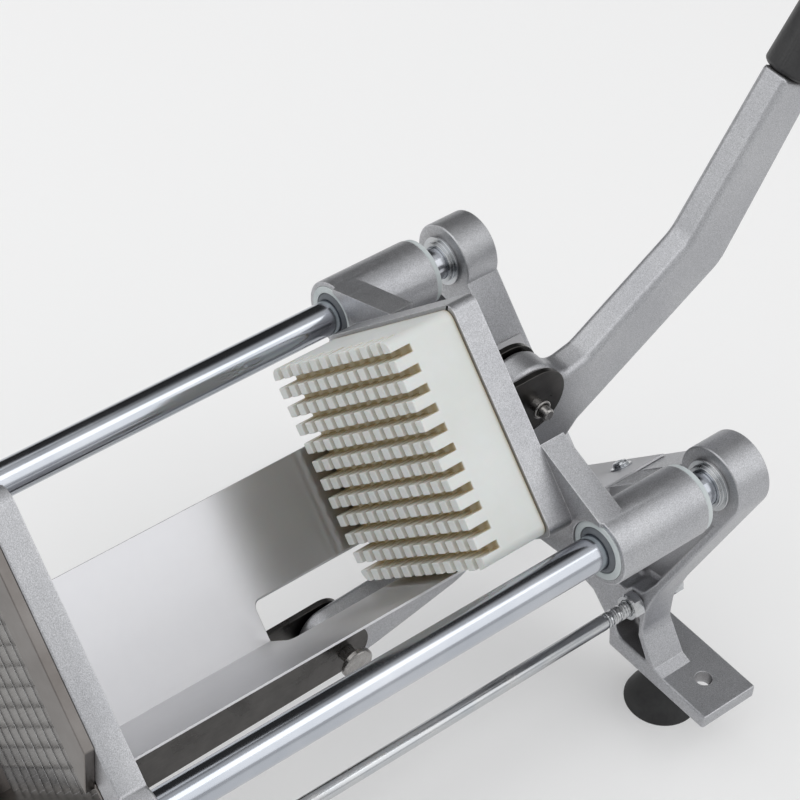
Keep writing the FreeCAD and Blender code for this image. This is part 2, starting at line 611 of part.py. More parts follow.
def suction_feet():
    studs = []
    rows = {"front": "front_foot_y",
            "rear": "rear_face + foot_depth / 2"}
    for row, y in rows.items():
        for name, side in SIDES.items():
            x = f"{side} * cup_x"
            keep(turned(f"suction_foot_{row}_{name}", "Z", [
                ("0", "-foot_level - cup_height + 9"), ("7", "-foot_level - cup_height + 8"),
                ("cup_rad - cup_rim", "-foot_level - cup_height"), ("cup_rad", "-foot_level - cup_height"),
                ("cup_rad - 2", "-foot_level - cup_height + 5"), ("cup_neck + 2", "-foot_level - 13"),
                ("cup_neck", "-foot_level - 9"), ("cup_neck + 3", "-foot_level - 5"),
                ("cup_neck + 3", "-foot_level"), ("stud_dia / 2 + stud_fit", "-foot_level"),
                ("stud_dia / 2 + stud_fit", "-foot_level - cup_thread"), ("0", "-foot_level - cup_thread")], x, y))
            studs.append(turned(f"foot_stud_{row}_{name}", "Z", rod_profile(
                "stud_dia / 2", "-foot_level - cup_thread", "-foot_level + stud_bite", "0.6"), x, y))
    keep(group("foot_studs", studs))


def link_anchor_screws():
    screws = []
    for name, side in SIDES.items():
        screws.append(turned(f"anchor_screw_{name}", "X", [
            ("0", f"{side} * (ear_in + 0.2)"), ("pin_large / 2", f"{side} * (ear_in + 0.2)"),
            ("pin_large / 2", f"{side} * ear_out"), ("7", f"{side} * ear_out"), ("7", f"{side} * (ear_out + 4)"),
            ("6", f"{side} * (ear_out + 5)"), ("0", f"{side} * (ear_out + 5)")], "0", "anchor_y", "anchor_z"))
    keep(group("link_anchor_screws", screws))


def finger_block():
    body = new_body("finger_block")
    # All fingers are equally wide, so the block ends half a slot inside the outermost blade cells.
    side = "block_half * sqrt(2)"
    diamond = [("0", side), (side, "0"), ("0", f"-{side}"), (f"-{side}", "0")]
    pad_y(body, "block", "tip_rest", "finger_reach + block_depth", [diamond])
    round_corners(body, "block_corners", "block_round", diamond)
    # Slots across the block, cut in both diagonal directions as narrow parallelograms.
    count = int(value("cut_count")) - 1
    for name, lean in (("rising", 1), ("falling", -1)):
        slots = []
        for index in range(count):
            shift = f"({index} - (cut_count - 2) / 2) * cut_pitch"
            reach = "(half_side + 3)"
            corners = []
            for run, edge in ((-1, -1), (1, -1), (1, 1), (-1, 1)):
                across = f"({shift} + {edge} * slot_width / 2)"
                corners.append((f"({run} * {reach} - {lean} * {across}) / sqrt(2)",
                                f"({lean} * {run} * {reach} + {across}) / sqrt(2)"))
            slots.append(corners)
        cut_y(body, f"slots_{name}", "tip_rest", "finger_reach", slots)
    tapped = [("0", f"{sign} * block_screw_z", "screw_rad + press_gap") for sign in (-1, 1)]
    cut_y(body, "tapped_holes", "block_back - block_screw_bite - 0.5", "block_screw_bite + 0.5", tapped)
    keep(body)


def pusher_carriage():
    body = new_body("pusher_carriage")
    side = "half_side * sqrt(2)"
    diamond = [("0", side), (side, "0"), ("0", f"-{side}"), (f"-{side}", "0")]
    pad_y(body, "plate", "block_back", "plate_depth", [diamond])
    round_corners(body, "plate_corners", "block_round", diamond)
    ear = [("ear_x", "half_side * sqrt(2) - ear_x"), ("rod_x", "-rod_drop + carriage_rad"),
           ("rod_x", "-rod_drop - carriage_rad"), ("ear_x", "-(half_side * sqrt(2) - ear_x)")]
    pad_y(body, "ears", "plate_back", "ear_depth", both_sides(ear))
    bosses = [(f"{side_} * rod_x", "-rod_drop", "carriage_rad") for side_ in SIDES.values()]
    pad_y(body, "rod_bosses", "boss_front", "carriage_run", bosses)
    front = [(f"{side_} * rod_x", "-rod_drop", "bush_dia / 2 + bush_seat") for side_ in SIDES.values()]
    cut_y(body, "front_bush_seats", "boss_front - 8", "bush_run + 8", front)
    bores = [(f"{side_} * rod_x", "-rod_drop", "rod_dia / 2 + rod_bore_fit") for side_ in SIDES.values()]
    cut_y(body, "rod_bores", "boss_front", "carriage_run", bores)
    back = [(f"{side_} * rod_x", "-rod_drop", "bush_dia / 2 - bush_step + bush_seat") for side_ in SIDES.values()]
    cut_y(body, "rear_bush_seats", "boss_back - bush_run", "bush_run", back)
    holes = [("0", f"{sign} * block_screw_z", "screw_rad + small_fit") for sign in (-1, 1)]
    cut_y(body, "block_screw_holes", "block_back", "plate_depth", holes)
    keep(body)


def block_screws():
    screws = []
    for label, sign in (("high", 1), ("low", -1)):
        screws.append(turned(f"block_screw_{label}", "Y", [
            ("0", "block_back - block_screw_bite"), ("screw_rad", "block_back - block_screw_bite"),
            ("screw_rad", "plate_back"), ("block_head_rad", "plate_back"), ("block_head_rad", "plate_back + 2"),
            ("block_head_rad - 1", "plate_back + block_head_tall - 0.2"), ("0", "plate_back + block_head_tall")],
            "0", "0", f"{sign} * block_screw_z"))
    keep(group("block_screws", screws))


def rod_bushes():
    for name, side in SIDES.items():
        x = f"{side} * rod_x"
        bore = "rod_dia / 2 + rod_run"
        seat_end = "boss_front + seal_deep"
        seal_seat = "seal_dia / 2 + press_gap"
        keep(turned(f"front_bush_{name}", "Y", [
            (bore, seat_end), (seal_seat, seat_end), (seal_seat, "boss_front - bush_lip"),
            ("bush_dia / 2", "boss_front - bush_lip"), ("bush_dia / 2", "boss_front + bush_run"),
            (bore, "boss_front + bush_run")], x, "0", "-rod_drop"))
        keep(turned(f"rod_seal_{name}", "Y", [
            (bore, "boss_front - seal_proud"), ("seal_dia / 2 - seal_wall * 0.6", "boss_front - seal_proud"),
            ("seal_dia / 2", "boss_front"), ("seal_dia / 2", seat_end), (bore, seat_end)], x, "0", "-rod_drop"))
        inner, flange = "bush_dia / 2 - bush_step", "carriage_rad - flange_back"
        flange_end = "boss_back + flange_thick"
        keep(turned(f"rear_bush_{name}", "Y", [
            (bore, "boss_back - bush_run"), (inner, "boss_back - bush_run"), (inner, "boss_back"),
            (flange, "boss_back"), (flange, flange_end), (bore, flange_end)], x, "0", "-rod_drop"))


def clevis_plates():
    screws = []
    seat_y = "plate_back + link_sheet"
    for name, side in SIDES.items():
        body = new_body(f"clevis_plate_{name}")
        start = "link_in" if side > 0 else "-link_out"
        cheek = [("plate_back", "-lug_rad"), ("hub_y", "-lug_rad"), ("hub_y", "lug_rad"), ("plate_back", "lug_rad")]
        pad_x(body, "cheek", start, "link_sheet", [cheek])
        pad_x(body, "cheek_end", start, "link_sheet", [("hub_y", "0", "lug_rad")])
        near = f"{side} * link_in"
        far = f"{side} * (link_out + lug_flange)"
        flange = [(near, "-lug_rad"), (far, "-lug_rad"), (far, "lug_rad"), (near, "lug_rad")]
        pad_y(body, "flange", "plate_back", "link_sheet", [flange])
        cut_x(body, "pin_hole", "-30", "60", [("hub_y", "0", "pin_small / 2 + press_gap")])
        holes = [(f"{side} * (link_out + lug_screw_in)", f"{sign} * lug_screw_z", "screw_rad + small_fit")
                 for sign in (-1, 1)]
        cut_y(body, "screw_holes", "plate_back - 1", "link_sheet + 2", holes)
        keep(body)
        for sign, spot in ((-1, "low"), (1, "high")):
            screws.append(turned(f"clevis_screw_{name}_{spot}", "Y", [
                ("0", "plate_back + 0.2"), ("screw_rad", "plate_back + 0.2"), ("screw_rad", seat_y),
                ("lug_head_rad", seat_y), ("lug_head_rad", f"{seat_y} + lug_head_tall / 2"),
                ("lug_head_rad - 1.2", f"{seat_y} + lug_head_tall - 0.2"), ("0", f"{seat_y} + lug_head_tall")],
                f"{side} * (link_out + lug_screw_in)", "0", f"{sign} * lug_screw_z"))
    keep(group("clevis_screws", screws))


def pivot_pins():
    keep(turned("upper_pivot_pin", "X", [
        ("0", "-link_out - 2.8"), ("5", "-link_out - 2.8"), ("5.4", "-link_out - 2.2"), ("5.4", "-link_out - 0.1"),
        ("pin_small / 2", "-link_out - 0.1"), ("pin_small / 2", "link_out + pin_out - 0.8"),
        ("pin_small / 2 - pin_chamfer", "link_out + pin_out"), ("0", "link_out + pin_out")], "0", "hub_y", "0"))
    ring = doc.addObject("Part::Torus", "upper_split_ring")
    ring.Label = "upper_split_ring"
    bind(ring, "Radius1", "pin_small / 2 + ring_play")
    bind(ring, "Radius2", "ring_wire")
    ring.Placement.Rotation = FreeCAD.Rotation(FreeCAD.Vector(0, 1, 0), 90)
    keep(seat(ring, "link_out + 5", "hub_y", "0"))
    keep(turned("lower_pivot_pin", "X", [
        ("0", "-link_out - 5"), ("pin_large / 2 - pin_chamfer", "-link_out - 5"),
        ("pin_large / 2", "-link_out - 5 + pin_chamfer"), ("pin_large / 2", "link_out + pin_out - 2.9"),
        ("pin_head / 2", "link_out + pin_out - 2.9"), ("pin_head / 2", "link_out + pin_out - 0.6"),
        ("pin_head / 2 - 0.8", "link_out + pin_out + 0.2"), ("0", "link_out + pin_out + 0.2")],
        "0", "knee_world_y", "knee_z"))
    ring = doc.addObject("Part::Torus", "lower_split_ring")
    ring.Label = "lower_split_ring"
    bind(ring, "Radius1", "pin_large / 2 + ring_play")
    bind(ring, "Radius2", "ring_wire")
    ring.Placement.Rotation = FreeCAD.Rotation(FreeCAD.Vector(0, 1, 0), 90)
    keep(seat(ring, "-link_out - 2", "knee_world_y", "knee_z"))


def link_plates():
    for name, side in SIDES.items():
        body = new_body(f"link_plate_{name}")
        start = "link_in" if side > 0 else "-link_out"
        lean_y = "link_half * sin(link_tilt)"
        lean_z = "link_half * cos(link_tilt)"
        bar = [(f"knee_world_y + {lean_y}", f"knee_z - {lean_z}"), (f"knee_world_y - {lean_y}", f"knee_z + {lean_z}"),
               (f"anchor_y - {lean_y}", f"anchor_z + {lean_z}"), (f"anchor_y + {lean_y}", f"anchor_z - {lean_z}")]
        pad_x(body, "bar", start, "link_sheet", [bar])
        pad_x(body, "ends", start, "link_sheet", [("knee_world_y", "knee_z", "link_half"),
                                                 ("anchor_y", "anchor_z", "link_half")])
        cut_x(body, "pin_holes", "-40", "80", [("knee_world_y", "knee_z", "pin_large / 2 + press_gap"),
                                              ("anchor_y", "anchor_z", "pin_large / 2 + press_gap")])
        keep(body)
    keep(turned("link_spacer", "X", tube_profile("pin_large / 2 + small_fit", "7", "-link_in + small_fit", "link_in - small_fit"),
                "0", "anchor_y", "anchor_z"))
    keep(turned("link_axle", "X", [
        ("0", "-ear_in + 0.3"), ("pin_large / 2", "-ear_in + 0.3"), ("pin_large / 2", "ear_in - 0.3"),
        ("0", "ear_in - 0.3")], "0", "anchor_y", "anchor_z"))


def lever_outline():
    # Side view about the hub: lower arm to the knee pin, elbow, first straight, bend and second straight.
    half = "lever_depth / 2"
    narrow = "(lever_depth / 2 - 3)"
    middle = "(first_angle + second_angle) / 2"
    swing = f"{half} / cos((second_angle - first_angle) / 2)"
    neck_y = "(bend_y + (second_run - grip_run) * cos(second_angle))"
    neck_z = "(bend_z + (second_run - grip_run) * sin(second_angle))"
    rear = [("knee_y + 6", "knee_z - knee_rad - 1.5"), ("knee_y + 78", "knee_z - 3"), ("16", "-63"),
            ("30", "-44"), ("37", "-35"), (f"bend_y + {swing} * sin({middle})", f"bend_z - {swing} * cos({middle})")]
    neck = [(f"{neck_y} + {narrow} * sin(second_angle)", f"{neck_z} - {narrow} * cos(second_angle)"),
            (f"{neck_y} - {narrow} * sin(second_angle)", f"{neck_z} + {narrow} * cos(second_angle)")]
    front = [(f"bend_y - {swing} * sin({middle})", f"bend_z + {swing} * cos({middle})"), ("38", "6"),
             ("24", "2.5"), ("10", "12"), ("-hub_rad", "0"), ("-17", "-46"), ("-27", "-70"), ("-40", "-85"),
             ("knee_y", "knee_z + knee_rad")]
    return rear, neck, front


def handle_lever():
    body = new_body("handle_lever", "0", "hub_y", "0")
    rear, neck, front = lever_outline()
    pad_x(body, "bar", "-lever_half", "lever_thick", [rear + neck + front])
    pad_x(body, "hub", "-lever_half", "lever_thick", [("0", "0", "hub_rad")])
    pad_x(body, "knee", "-lever_half", "lever_thick", [("knee_y", "knee_z", "knee_rad")])
    round_corners(body, "elbows", "elbow_round", [rear[5], front[0]], "YZ")
    round_corners(body, "rear_sweep", "sweep_round", rear[1:3], "YZ")
    round_corners(body, "front_sweep", "crook_round", front[1:3] + front[5:8], "YZ")
    reach = "second_run - tang_short"
    start = "second_run - grip_run - 4"
    tang = [(f"bend_y + ({place}) * cos(second_angle) + {sign} * tang_half * sin(second_angle)",
             f"bend_z + ({place}) * sin(second_angle) - {sign} * tang_half * cos(second_angle)")
            for place, sign in ((start, 1), (reach, 1), (reach, -1), (start, -1))]
    pad_x(body, "grip_tang", "-tang_thick / 2", "tang_thick", [tang])
    cut_x(body, "bush_bores", "-lever_half - 1", "lever_thick + 2", [
        ("0", "0", "pin_small / 2 + bush_wall + press_gap"),
        ("knee_y", "knee_z", "pin_large / 2 + bush_wall + press_gap")])
    keep(body)


def handle_grip():
    # Moulded grip, round ended, turned about its own Z and then leaned onto the upper straight.
    stem = "second_run - grip_run"
    body = turned("handle_grip", "Z", [
        ("0", "0.2"), ("grip_rad - 2", "0.2"), ("grip_rad", "2.2"), ("grip_rad - 1.5", "grip_run * 0.35"),
        ("grip_rad", "grip_run * 0.7"), ("grip_rad", "grip_run + grip_rad"), ("0", "grip_run + grip_rad")])
    crown = value("grip_run") + value("grip_rad")
    round_edges(body, "grip_crown", "grip_rad - 0.3", lambda p, e: abs(p.z - crown) < 0.01)
    wide = "tang_thick / 2 + press_gap"
    deep = "tang_half + press_gap"
    hole = box_shape(f"-({wide})", f"-({deep})", wide, deep)
    cut_z(body, "tang_hole", "0", "grip_run - tang_short + 0.2", [hole])
    lean = value("second_angle")
    body.Placement.Rotation = FreeCAD.Rotation(FreeCAD.Vector(1, 0, 0), lean - 90)
    seat(body, "0", f"hub_y + bend_y + ({stem}) * cos(second_angle)", f"bend_z + ({stem}) * sin(second_angle)")
    keep(body)


def handle_bushes():
    keep(turned("upper_handle_bush", "X", tube_profile(
        "pin_small / 2 + press_gap", "pin_small / 2 + bush_wall", "-lever_half - 0.4", "lever_half + 0.4"), "0", "hub_y", "0"))
    keep(turned("lower_handle_bush", "X", tube_profile(
        "pin_large / 2 + press_gap", "pin_large / 2 + bush_wall", "-lever_half - 0.4", "lever_half + 0.4"),
        "0", "knee_world_y", "knee_z"))


def check_document():
    broken = [item.Label for item in doc.Objects if "Invalid" in item.State or "Error" in item.State]
    if broken:
        raise RuntimeError("not built: " + ", ".join(broken))
    for item in nodes:
        if item.Shape.isNull() or not item.Shape.isValid():
            raise RuntimeError(f"{item.Label} has no valid shape")


def lever_travel():
    # Where the knee pin sits when the pusher is fully forward, and how far lever and links have turned.
    hub_end = value("hub_y") - value("stroke")
    anchor = (value("anchor_y"), value("anchor_z"))
    arm = math.hypot(value("knee_y"), value("knee_z"))
    link = value("link_length")
    gap_y = anchor[0] - hub_end
    gap_z = anchor[1]
    gap = math.hypot(gap_y, gap_z)
    along = (arm ** 2 - link ** 2 + gap ** 2) / (2 * gap)
    rise = math.sqrt(arm ** 2 - along ** 2)
    knee = (hub_end + (along * gap_y - rise * gap_z) / gap, (along * gap_z + rise * gap_y) / gap)
    other = (hub_end + (along * gap_y + rise * gap_z) / gap, (along * gap_z - rise * gap_y) / gap)
    knee = max(knee, other)
    turn = math.degrees(math.atan2(knee[1], knee[0] - hub_end) - math.atan2(value("knee_z"), value("knee_y")))
    swing = math.degrees(math.atan2(anchor[1] - knee[1], anchor[0] - knee[0])
                         - math.atan2(anchor[1] - value("knee_z"), anchor[0] - value("knee_world_y")))
    turn = turn % 360
    swing = (swing + 180) % 360 - 180
    print(f"lever turns {turn:.4f} degrees, links turn {swing:.4f} degrees, knee ends at {knee}")


front_frame()
rear_frame()
guide_rods()
rod_end_pieces()
tie_rods()
v_trough()
trough_screws()
blade_cartridge()
blade_strips()
thumb_screws()
suction_feet()
link_anchor_screws()
finger_block()
pusher_carriage()
block_screws()
rod_bushes()
clevis_plates()
pivot_pins()
link_plates()
handle_lever()
handle_grip()
handle_bushes()
doc.recompute()
check_document()
lever_travel()

os.makedirs("parts", exist_ok=True)
for item in nodes:
    item.Shape.exportStep(f"parts/{item.Label}.step")
print(f"{len(nodes)} nodes written")
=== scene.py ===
import bpy
import bmesh
import math
from mathutils import Matrix, Vector
from mathutils.bvhtree import BVHTree
from mathutils.kdtree import KDTree


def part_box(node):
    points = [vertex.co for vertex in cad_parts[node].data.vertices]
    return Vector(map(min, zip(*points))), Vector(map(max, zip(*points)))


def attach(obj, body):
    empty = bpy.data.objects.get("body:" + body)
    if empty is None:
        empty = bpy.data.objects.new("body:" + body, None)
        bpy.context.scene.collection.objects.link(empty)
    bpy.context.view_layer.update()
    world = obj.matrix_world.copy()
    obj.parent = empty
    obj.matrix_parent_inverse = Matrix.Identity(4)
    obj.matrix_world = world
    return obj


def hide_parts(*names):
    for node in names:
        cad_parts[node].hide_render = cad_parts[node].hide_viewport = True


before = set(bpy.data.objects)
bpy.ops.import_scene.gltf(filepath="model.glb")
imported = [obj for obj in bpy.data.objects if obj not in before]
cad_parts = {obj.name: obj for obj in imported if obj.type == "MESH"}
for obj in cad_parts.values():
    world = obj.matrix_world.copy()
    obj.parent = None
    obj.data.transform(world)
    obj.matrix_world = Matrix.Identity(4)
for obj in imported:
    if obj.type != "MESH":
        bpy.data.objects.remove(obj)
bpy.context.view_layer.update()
print("frame loaded:", len(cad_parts), "pieces")

# The core line: X = 0, Y = 0 at the back of the front frame, Z = 0 on the centre of the cutting diamond.
# Places below are in millimetres from it, and spot() turns them into the frame's metres.
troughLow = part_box("v_trough")[0]
rodLow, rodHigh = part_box("guide_rod_right")
core = {"y": troughLow.y - 0.0003, "z": (rodLow.z + rodHigh.z) / 2 + 0.005}


def spot(x, y, z):
    return Vector((x / 1000, y / 1000 + core["y"], z / 1000 + core["z"]))


def millimetres(point):
    return Vector((point.x * 1000, (point.y - core["y"]) * 1000, (point.z - core["z"]) * 1000))


def centreOf(node):
    low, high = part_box(node)
    return millimetres((low + high) / 2)


def spanOf(node):
    low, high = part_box(node)
    return millimetres(low), millimetres(high)


# ---- materials ----


class Nodes:
    # A short way to write a node tree: add a node, name its inputs, link them.
    def feed(self, socket, source):
        if isinstance(source, bpy.types.NodeSocket):
            self.tree.links.new(source, socket)
        elif isinstance(source, tuple) and socket.type == "RGBA":
            socket.default_value = (*source, 1)
        else:
            socket.default_value = source

    def add(self, kind, inputs=None, **settings):
        node = self.tree.nodes.new(kind)
        for key, setting in settings.items():
            setattr(node, key, setting)
        for key, source in (inputs or {}).items():
            self.feed(node.inputs[key], source)
        return node

    def math(self, operation, first, second=0.0):
        return self.add("ShaderNodeMath", {0: first, 1: second}, operation=operation).outputs[0]


class Shader(Nodes):
    def __init__(self, name):
        self.material = bpy.data.materials.new(name)
        self.material.use_nodes = True
        self.tree = self.material.node_tree
        self.skin = self.tree.nodes["Principled BSDF"]
        self.place = self.add("ShaderNodeTexCoord").outputs["Object"]

    def noise(self, scale, detail=2.0, rough=0.5, stretch=None):
        place = self.place
        if stretch:
            place = self.add("ShaderNodeMapping", {"Vector": place, "Scale": stretch}).outputs["Vector"]
        return self.add("ShaderNodeTexNoise", {"Vector": place, "Scale": scale, "Detail": detail,
                                               "Roughness": rough}).outputs["Fac"]

    def ramp(self, source, *stops):
        node = self.add("ShaderNodeValToRGB", {"Fac": source})
        row = node.color_ramp.elements
        while len(row) < len(stops):
            row.new(0.5)
        for item, (where, shade) in zip(row, stops):
            item.position = where
            item.color = (*shade, 1) if isinstance(shade, tuple) else (shade, shade, shade, 1)
        return node.outputs["Color"]

    def spread(self, source, low, high, fromLow=0.3, fromHigh=0.7):
        return self.add("ShaderNodeMapRange", {"Value": source, "From Min": fromLow, "From Max": fromHigh,
                                               "To Min": low, "To Max": high}).outputs["Result"]

    def mix(self, factor, first, second, blend="MIX"):
        node = self.add("ShaderNodeMix", data_type="RGBA", blend_type=blend)
        for socket, source in zip((node.inputs[0], node.inputs[6], node.inputs[7]), (factor, first, second)):
            self.feed(socket, source)
        return node.outputs[2]

    def bump(self, height, strength, distance, under=None):
        inputs = {"Height": height, "Strength": strength, "Distance": distance}
        if under:
            inputs["Normal"] = under
        return self.add("ShaderNodeBump", inputs).outputs["Normal"]

    def set(self, **sockets):
        names = {"color": "Base Color", "rough": "Roughness", "metal": "Metallic", "normal": "Normal",
                 "gloss": "Specular IOR Level", "soft": "Subsurface Weight", "softScale": "Subsurface Scale",
                 "stretch": "Anisotropic", "tangent": "Tangent"}
        for key, source in sockets.items():
            self.feed(self.skin.inputs[names[key]], source)
        return self.material


# The darkest tone is painted shade for pockets and corners; the edge tone is partly rubbed wear and partly a
# painted highlight.
castLook = {"dark": (0.52, 0.525, 0.55), "light": (0.60, 0.605, 0.625), "grain": 2100, "grainDepth": 0.00010,
            "cloud": 21, "rough": (0.36, 0.47), "edge": (0.90, 0.90, 0.92), "pocketShade": (0.20, 0.185, 0.18)}


def castAluminium():
    # Blasted and tumbled casting: fine sparkling grain, faint clouds, painted shade in pockets and corners,
    # and edges lightened, partly rubbed bright and partly a painted highlight.
    shader = Shader("castAluminium")
    cloud = shader.noise(castLook["cloud"], 4.0, 0.6)
    grain = shader.noise(castLook["grain"], 2.0, 0.7)
    coarse = shader.noise(castLook["grain"] / 5, 3.0, 0.6)
    tone = shader.ramp(cloud, (0.3, castLook["dark"]), (0.7, castLook["light"]))
    speck = shader.ramp(grain, (0.34, 0.56), (0.66, 1.0))
    tone = shader.mix(0.9, tone, speck, "MULTIPLY")
    # Painted shade: the colour darkens in pockets and corners.
    tone = shader.mix(paintedShadeMask(shader, 0.022, 0.85), tone, castLook["pocketShade"])
    # Edges lightened: partly rubbed wear, partly a painted highlight.
    wearAndHighlight = shader.mix(edgeWearAndHighlight(shader, 0.0009), tone, castLook["edge"])
    low, high = castLook["rough"]
    rough = shader.spread(coarse, low, high)
    skin = shader.bump(grain, 0.5, castLook["grainDepth"])
    skin = shader.bump(coarse, 0.25, 0.0003, skin)
    return shader.set(color=wearAndHighlight, rough=rough, metal=0.86, normal=skin)


def paintedShadeMask(shader, reach, most):
    # 0 in the open, up to most in pockets and corners: the mask for painted shade that darkens the colour
    # there.
    openness = shader.add("ShaderNodeAmbientOcclusion", {"Distance": reach}, samples=6).outputs["AO"]
    return shader.spread(openness, most, 0.0, 0.12, 0.72)


def edgeWearAndHighlight(shader, reach):
    # 1 on outer edges, 0 on faces: how far a softened normal leans from the true one. Edges lightened with it
    #                               are partly rubbed wear and partly a painted highlight.
    soft = shader.add("ShaderNodeBevel", {"Radius": reach}, samples=4).outputs["Normal"]
    true = shader.add("ShaderNodeNewGeometry").outputs["Normal"]
    lean = shader.add("ShaderNodeVectorMath", {0: soft, 1: true}, operation="DOT_PRODUCT").outputs["Value"]
    worn = shader.noise(330, 3.0, 0.6)
    edgeLean = shader.spread(lean, 0.75, 0.0, 0.90, 0.998)
    return shader.math("MULTIPLY", edgeLean, shader.spread(worn, 0.25, 1.0))


def mottled(name, style):
    # The recipe that most looks share: a slow mottle in the colour, and a fine grain in the surface.
    shader = Shader(name)
    mottle = shader.noise(*style["mottle"])
    grain = shader.noise(*style["grain"])
    start, end = style.get("stops", (0.3, 0.7))
    tone = shader.ramp(mottle, (start, style["dark"]), (end, style["light"]))
    rough = shader.spread({"mottle": mottle, "grain": grain}[style["roughBy"]], *style["rough"])
    return shader.set(color=tone, rough=rough, normal=shader.bump(grain, *style["bump"]), **style["kind"])


# noise: scale, detail, roughness and stretch; bump: strength and distance
polishedRod = {"mottle": (24, 3.0, 0.6), "grain": (900, 2.0, 0.5, (1, 0.02, 1)), "dark": (0.44, 0.465, 0.51),
               "light": (0.53, 0.55, 0.59), "rough": (0.13, 0.19), "roughBy": "mottle",
               "bump": (0.04, 0.00002), "kind": {"metal": 1.0}}
brightZinc = {"mottle": (70, 2.0, 0.5), "grain": (1300, 2.0, 0.5), "dark": (0.50, 0.52, 0.545),
              "light": (0.59, 0.595, 0.60), "rough": (0.20, 0.28), "roughBy": "mottle",
              "bump": (0.02, 0.00001), "kind": {"metal": 1.0}}
turnedSteel = {"mottle": (90, 3.0, 0.6), "grain": (900, 3.0, 0.6), "dark": (0.26, 0.25, 0.24),
               "light": (0.42, 0.41, 0.40), "rough": (0.22, 0.36), "roughBy": "grain",
               "bump": (0.02, 0.00001), "kind": {"metal": 1.0}}
greyNylon = {"mottle": (90, 3.0, 0.6), "grain": (1300, 2.0, 0.5), "dark": (0.50, 0.55, 0.56),
             "light": (0.62, 0.66, 0.66), "rough": (0.36, 0.5), "roughBy": "grain",
             "bump": (0.12, 0.0001), "kind": {"gloss": 0.45}}
rubber = {"mottle": (70, 4.0, 0.65), "grain": (1500, 3.0, 0.6), "stops": (0.35, 0.75), "rough": (0.48, 0.66),
          "roughBy": "mottle", "bump": (0.25, 0.0001), "kind": {"gloss": 0.4}}
sealRubber = {**rubber, "dark": (0.10, 0.11, 0.125), "light": (0.17, 0.185, 0.20)}
footRubber = {**rubber, "dark": (0.018, 0.018, 0.019), "light": (0.05, 0.05, 0.05)}


sheetLook = {"dark": (0.60, 0.60, 0.62), "light": (0.66, 0.66, 0.675), "rough": (0.31, 0.37), "drawn": 1.0}


def mirrorSheet():
    # Polished sheet drawn along Y: it smears what it reflects across the grain.
    shader = Shader("mirrorSheet")
    drawn = shader.noise(1400, 2.0, 0.6, (1, 0.015, 1))
    smear = shader.noise(14, 4.0, 0.65)
    tone = shader.ramp(smear, (0.3, sheetLook["dark"]), (0.7, sheetLook["light"]))
    low, high = sheetLook["rough"]
    rough = shader.spread(smear, low, high)
    facing = shader.add("ShaderNodeNewGeometry").outputs["True Normal"]
    across = shader.add("ShaderNodeVectorMath", {0: facing, 1: (0, 1, 0)}, operation="CROSS_PRODUCT")
    return shader.set(color=tone, rough=rough, metal=1.0, normal=shader.bump(drawn, 0.04, 0.00002),
                      stretch=sheetLook["drawn"], tangent=across.outputs["Vector"])


def bladeSteel():
    shader = Shader("bladeSteel")
    ground = shader.noise(2200, 2.0, 0.6, (1, 0.05, 1))
    tone = shader.ramp(ground, (0.3, (0.17, 0.165, 0.16)), (0.7, (0.225, 0.22, 0.215)))
    # Blade edges lightened: partly ground bright, partly a painted highlight.
    tone = shader.mix(edgeWearAndHighlight(shader, 0.0005), tone, (0.80, 0.80, 0.82))
    rough = shader.spread(ground, 0.22, 0.28)
    return shader.set(color=tone, rough=rough, metal=1.0, normal=shader.bump(ground, 0.01, 0.00001))


def sleeveSteel():
    # The plate and sleeve round the blades, in a dark brownish tone, with painted shade in their recesses and
    # corners.
    shader = Shader("sleeveSteel")
    cloud = shader.noise(35, 4.0, 0.6)
    ground = shader.noise(1400, 3.0, 0.6)
    tone = shader.ramp(cloud, (0.3, (0.15, 0.135, 0.125)), (0.7, (0.25, 0.235, 0.225)))
    # Painted shade: the colour goes near black in recesses and corners.
    tone = shader.mix(paintedShadeMask(shader, 0.03, 0.9), tone, (0.06, 0.05, 0.045))
    rough = shader.spread(cloud, 0.28, 0.40)
    return shader.set(color=tone, rough=rough, metal=1.0, normal=shader.bump(ground, 0.05, 0.00002))


def darkPlate():
    shader = Shader("darkPlate")
    brushed = shader.noise(1500, 3.0, 0.6, (1, 0.04, 1))
    stain = shader.noise(45, 4.0, 0.6)
    tone = shader.ramp(stain, (0.28, (0.055, 0.052, 0.050)), (0.72, (0.115, 0.110, 0.106)))
    tone = shader.mix(0.4, tone, shader.ramp(brushed, (0.3, 0.7), (0.7, 1.0)), "MULTIPLY")
    rough = shader.spread(stain, 0.22, 0.36)
    return shader.set(color=tone, rough=rough, metal=1.0, normal=shader.bump(brushed, 0.10, 0.00004))


# The slot tone is painted shade at the roots of the fingers.
nylonLook = {"face": (0.735, 0.755, 0.745), "worn": (0.68, 0.70, 0.675), "slot": (0.52, 0.41, 0.215)}


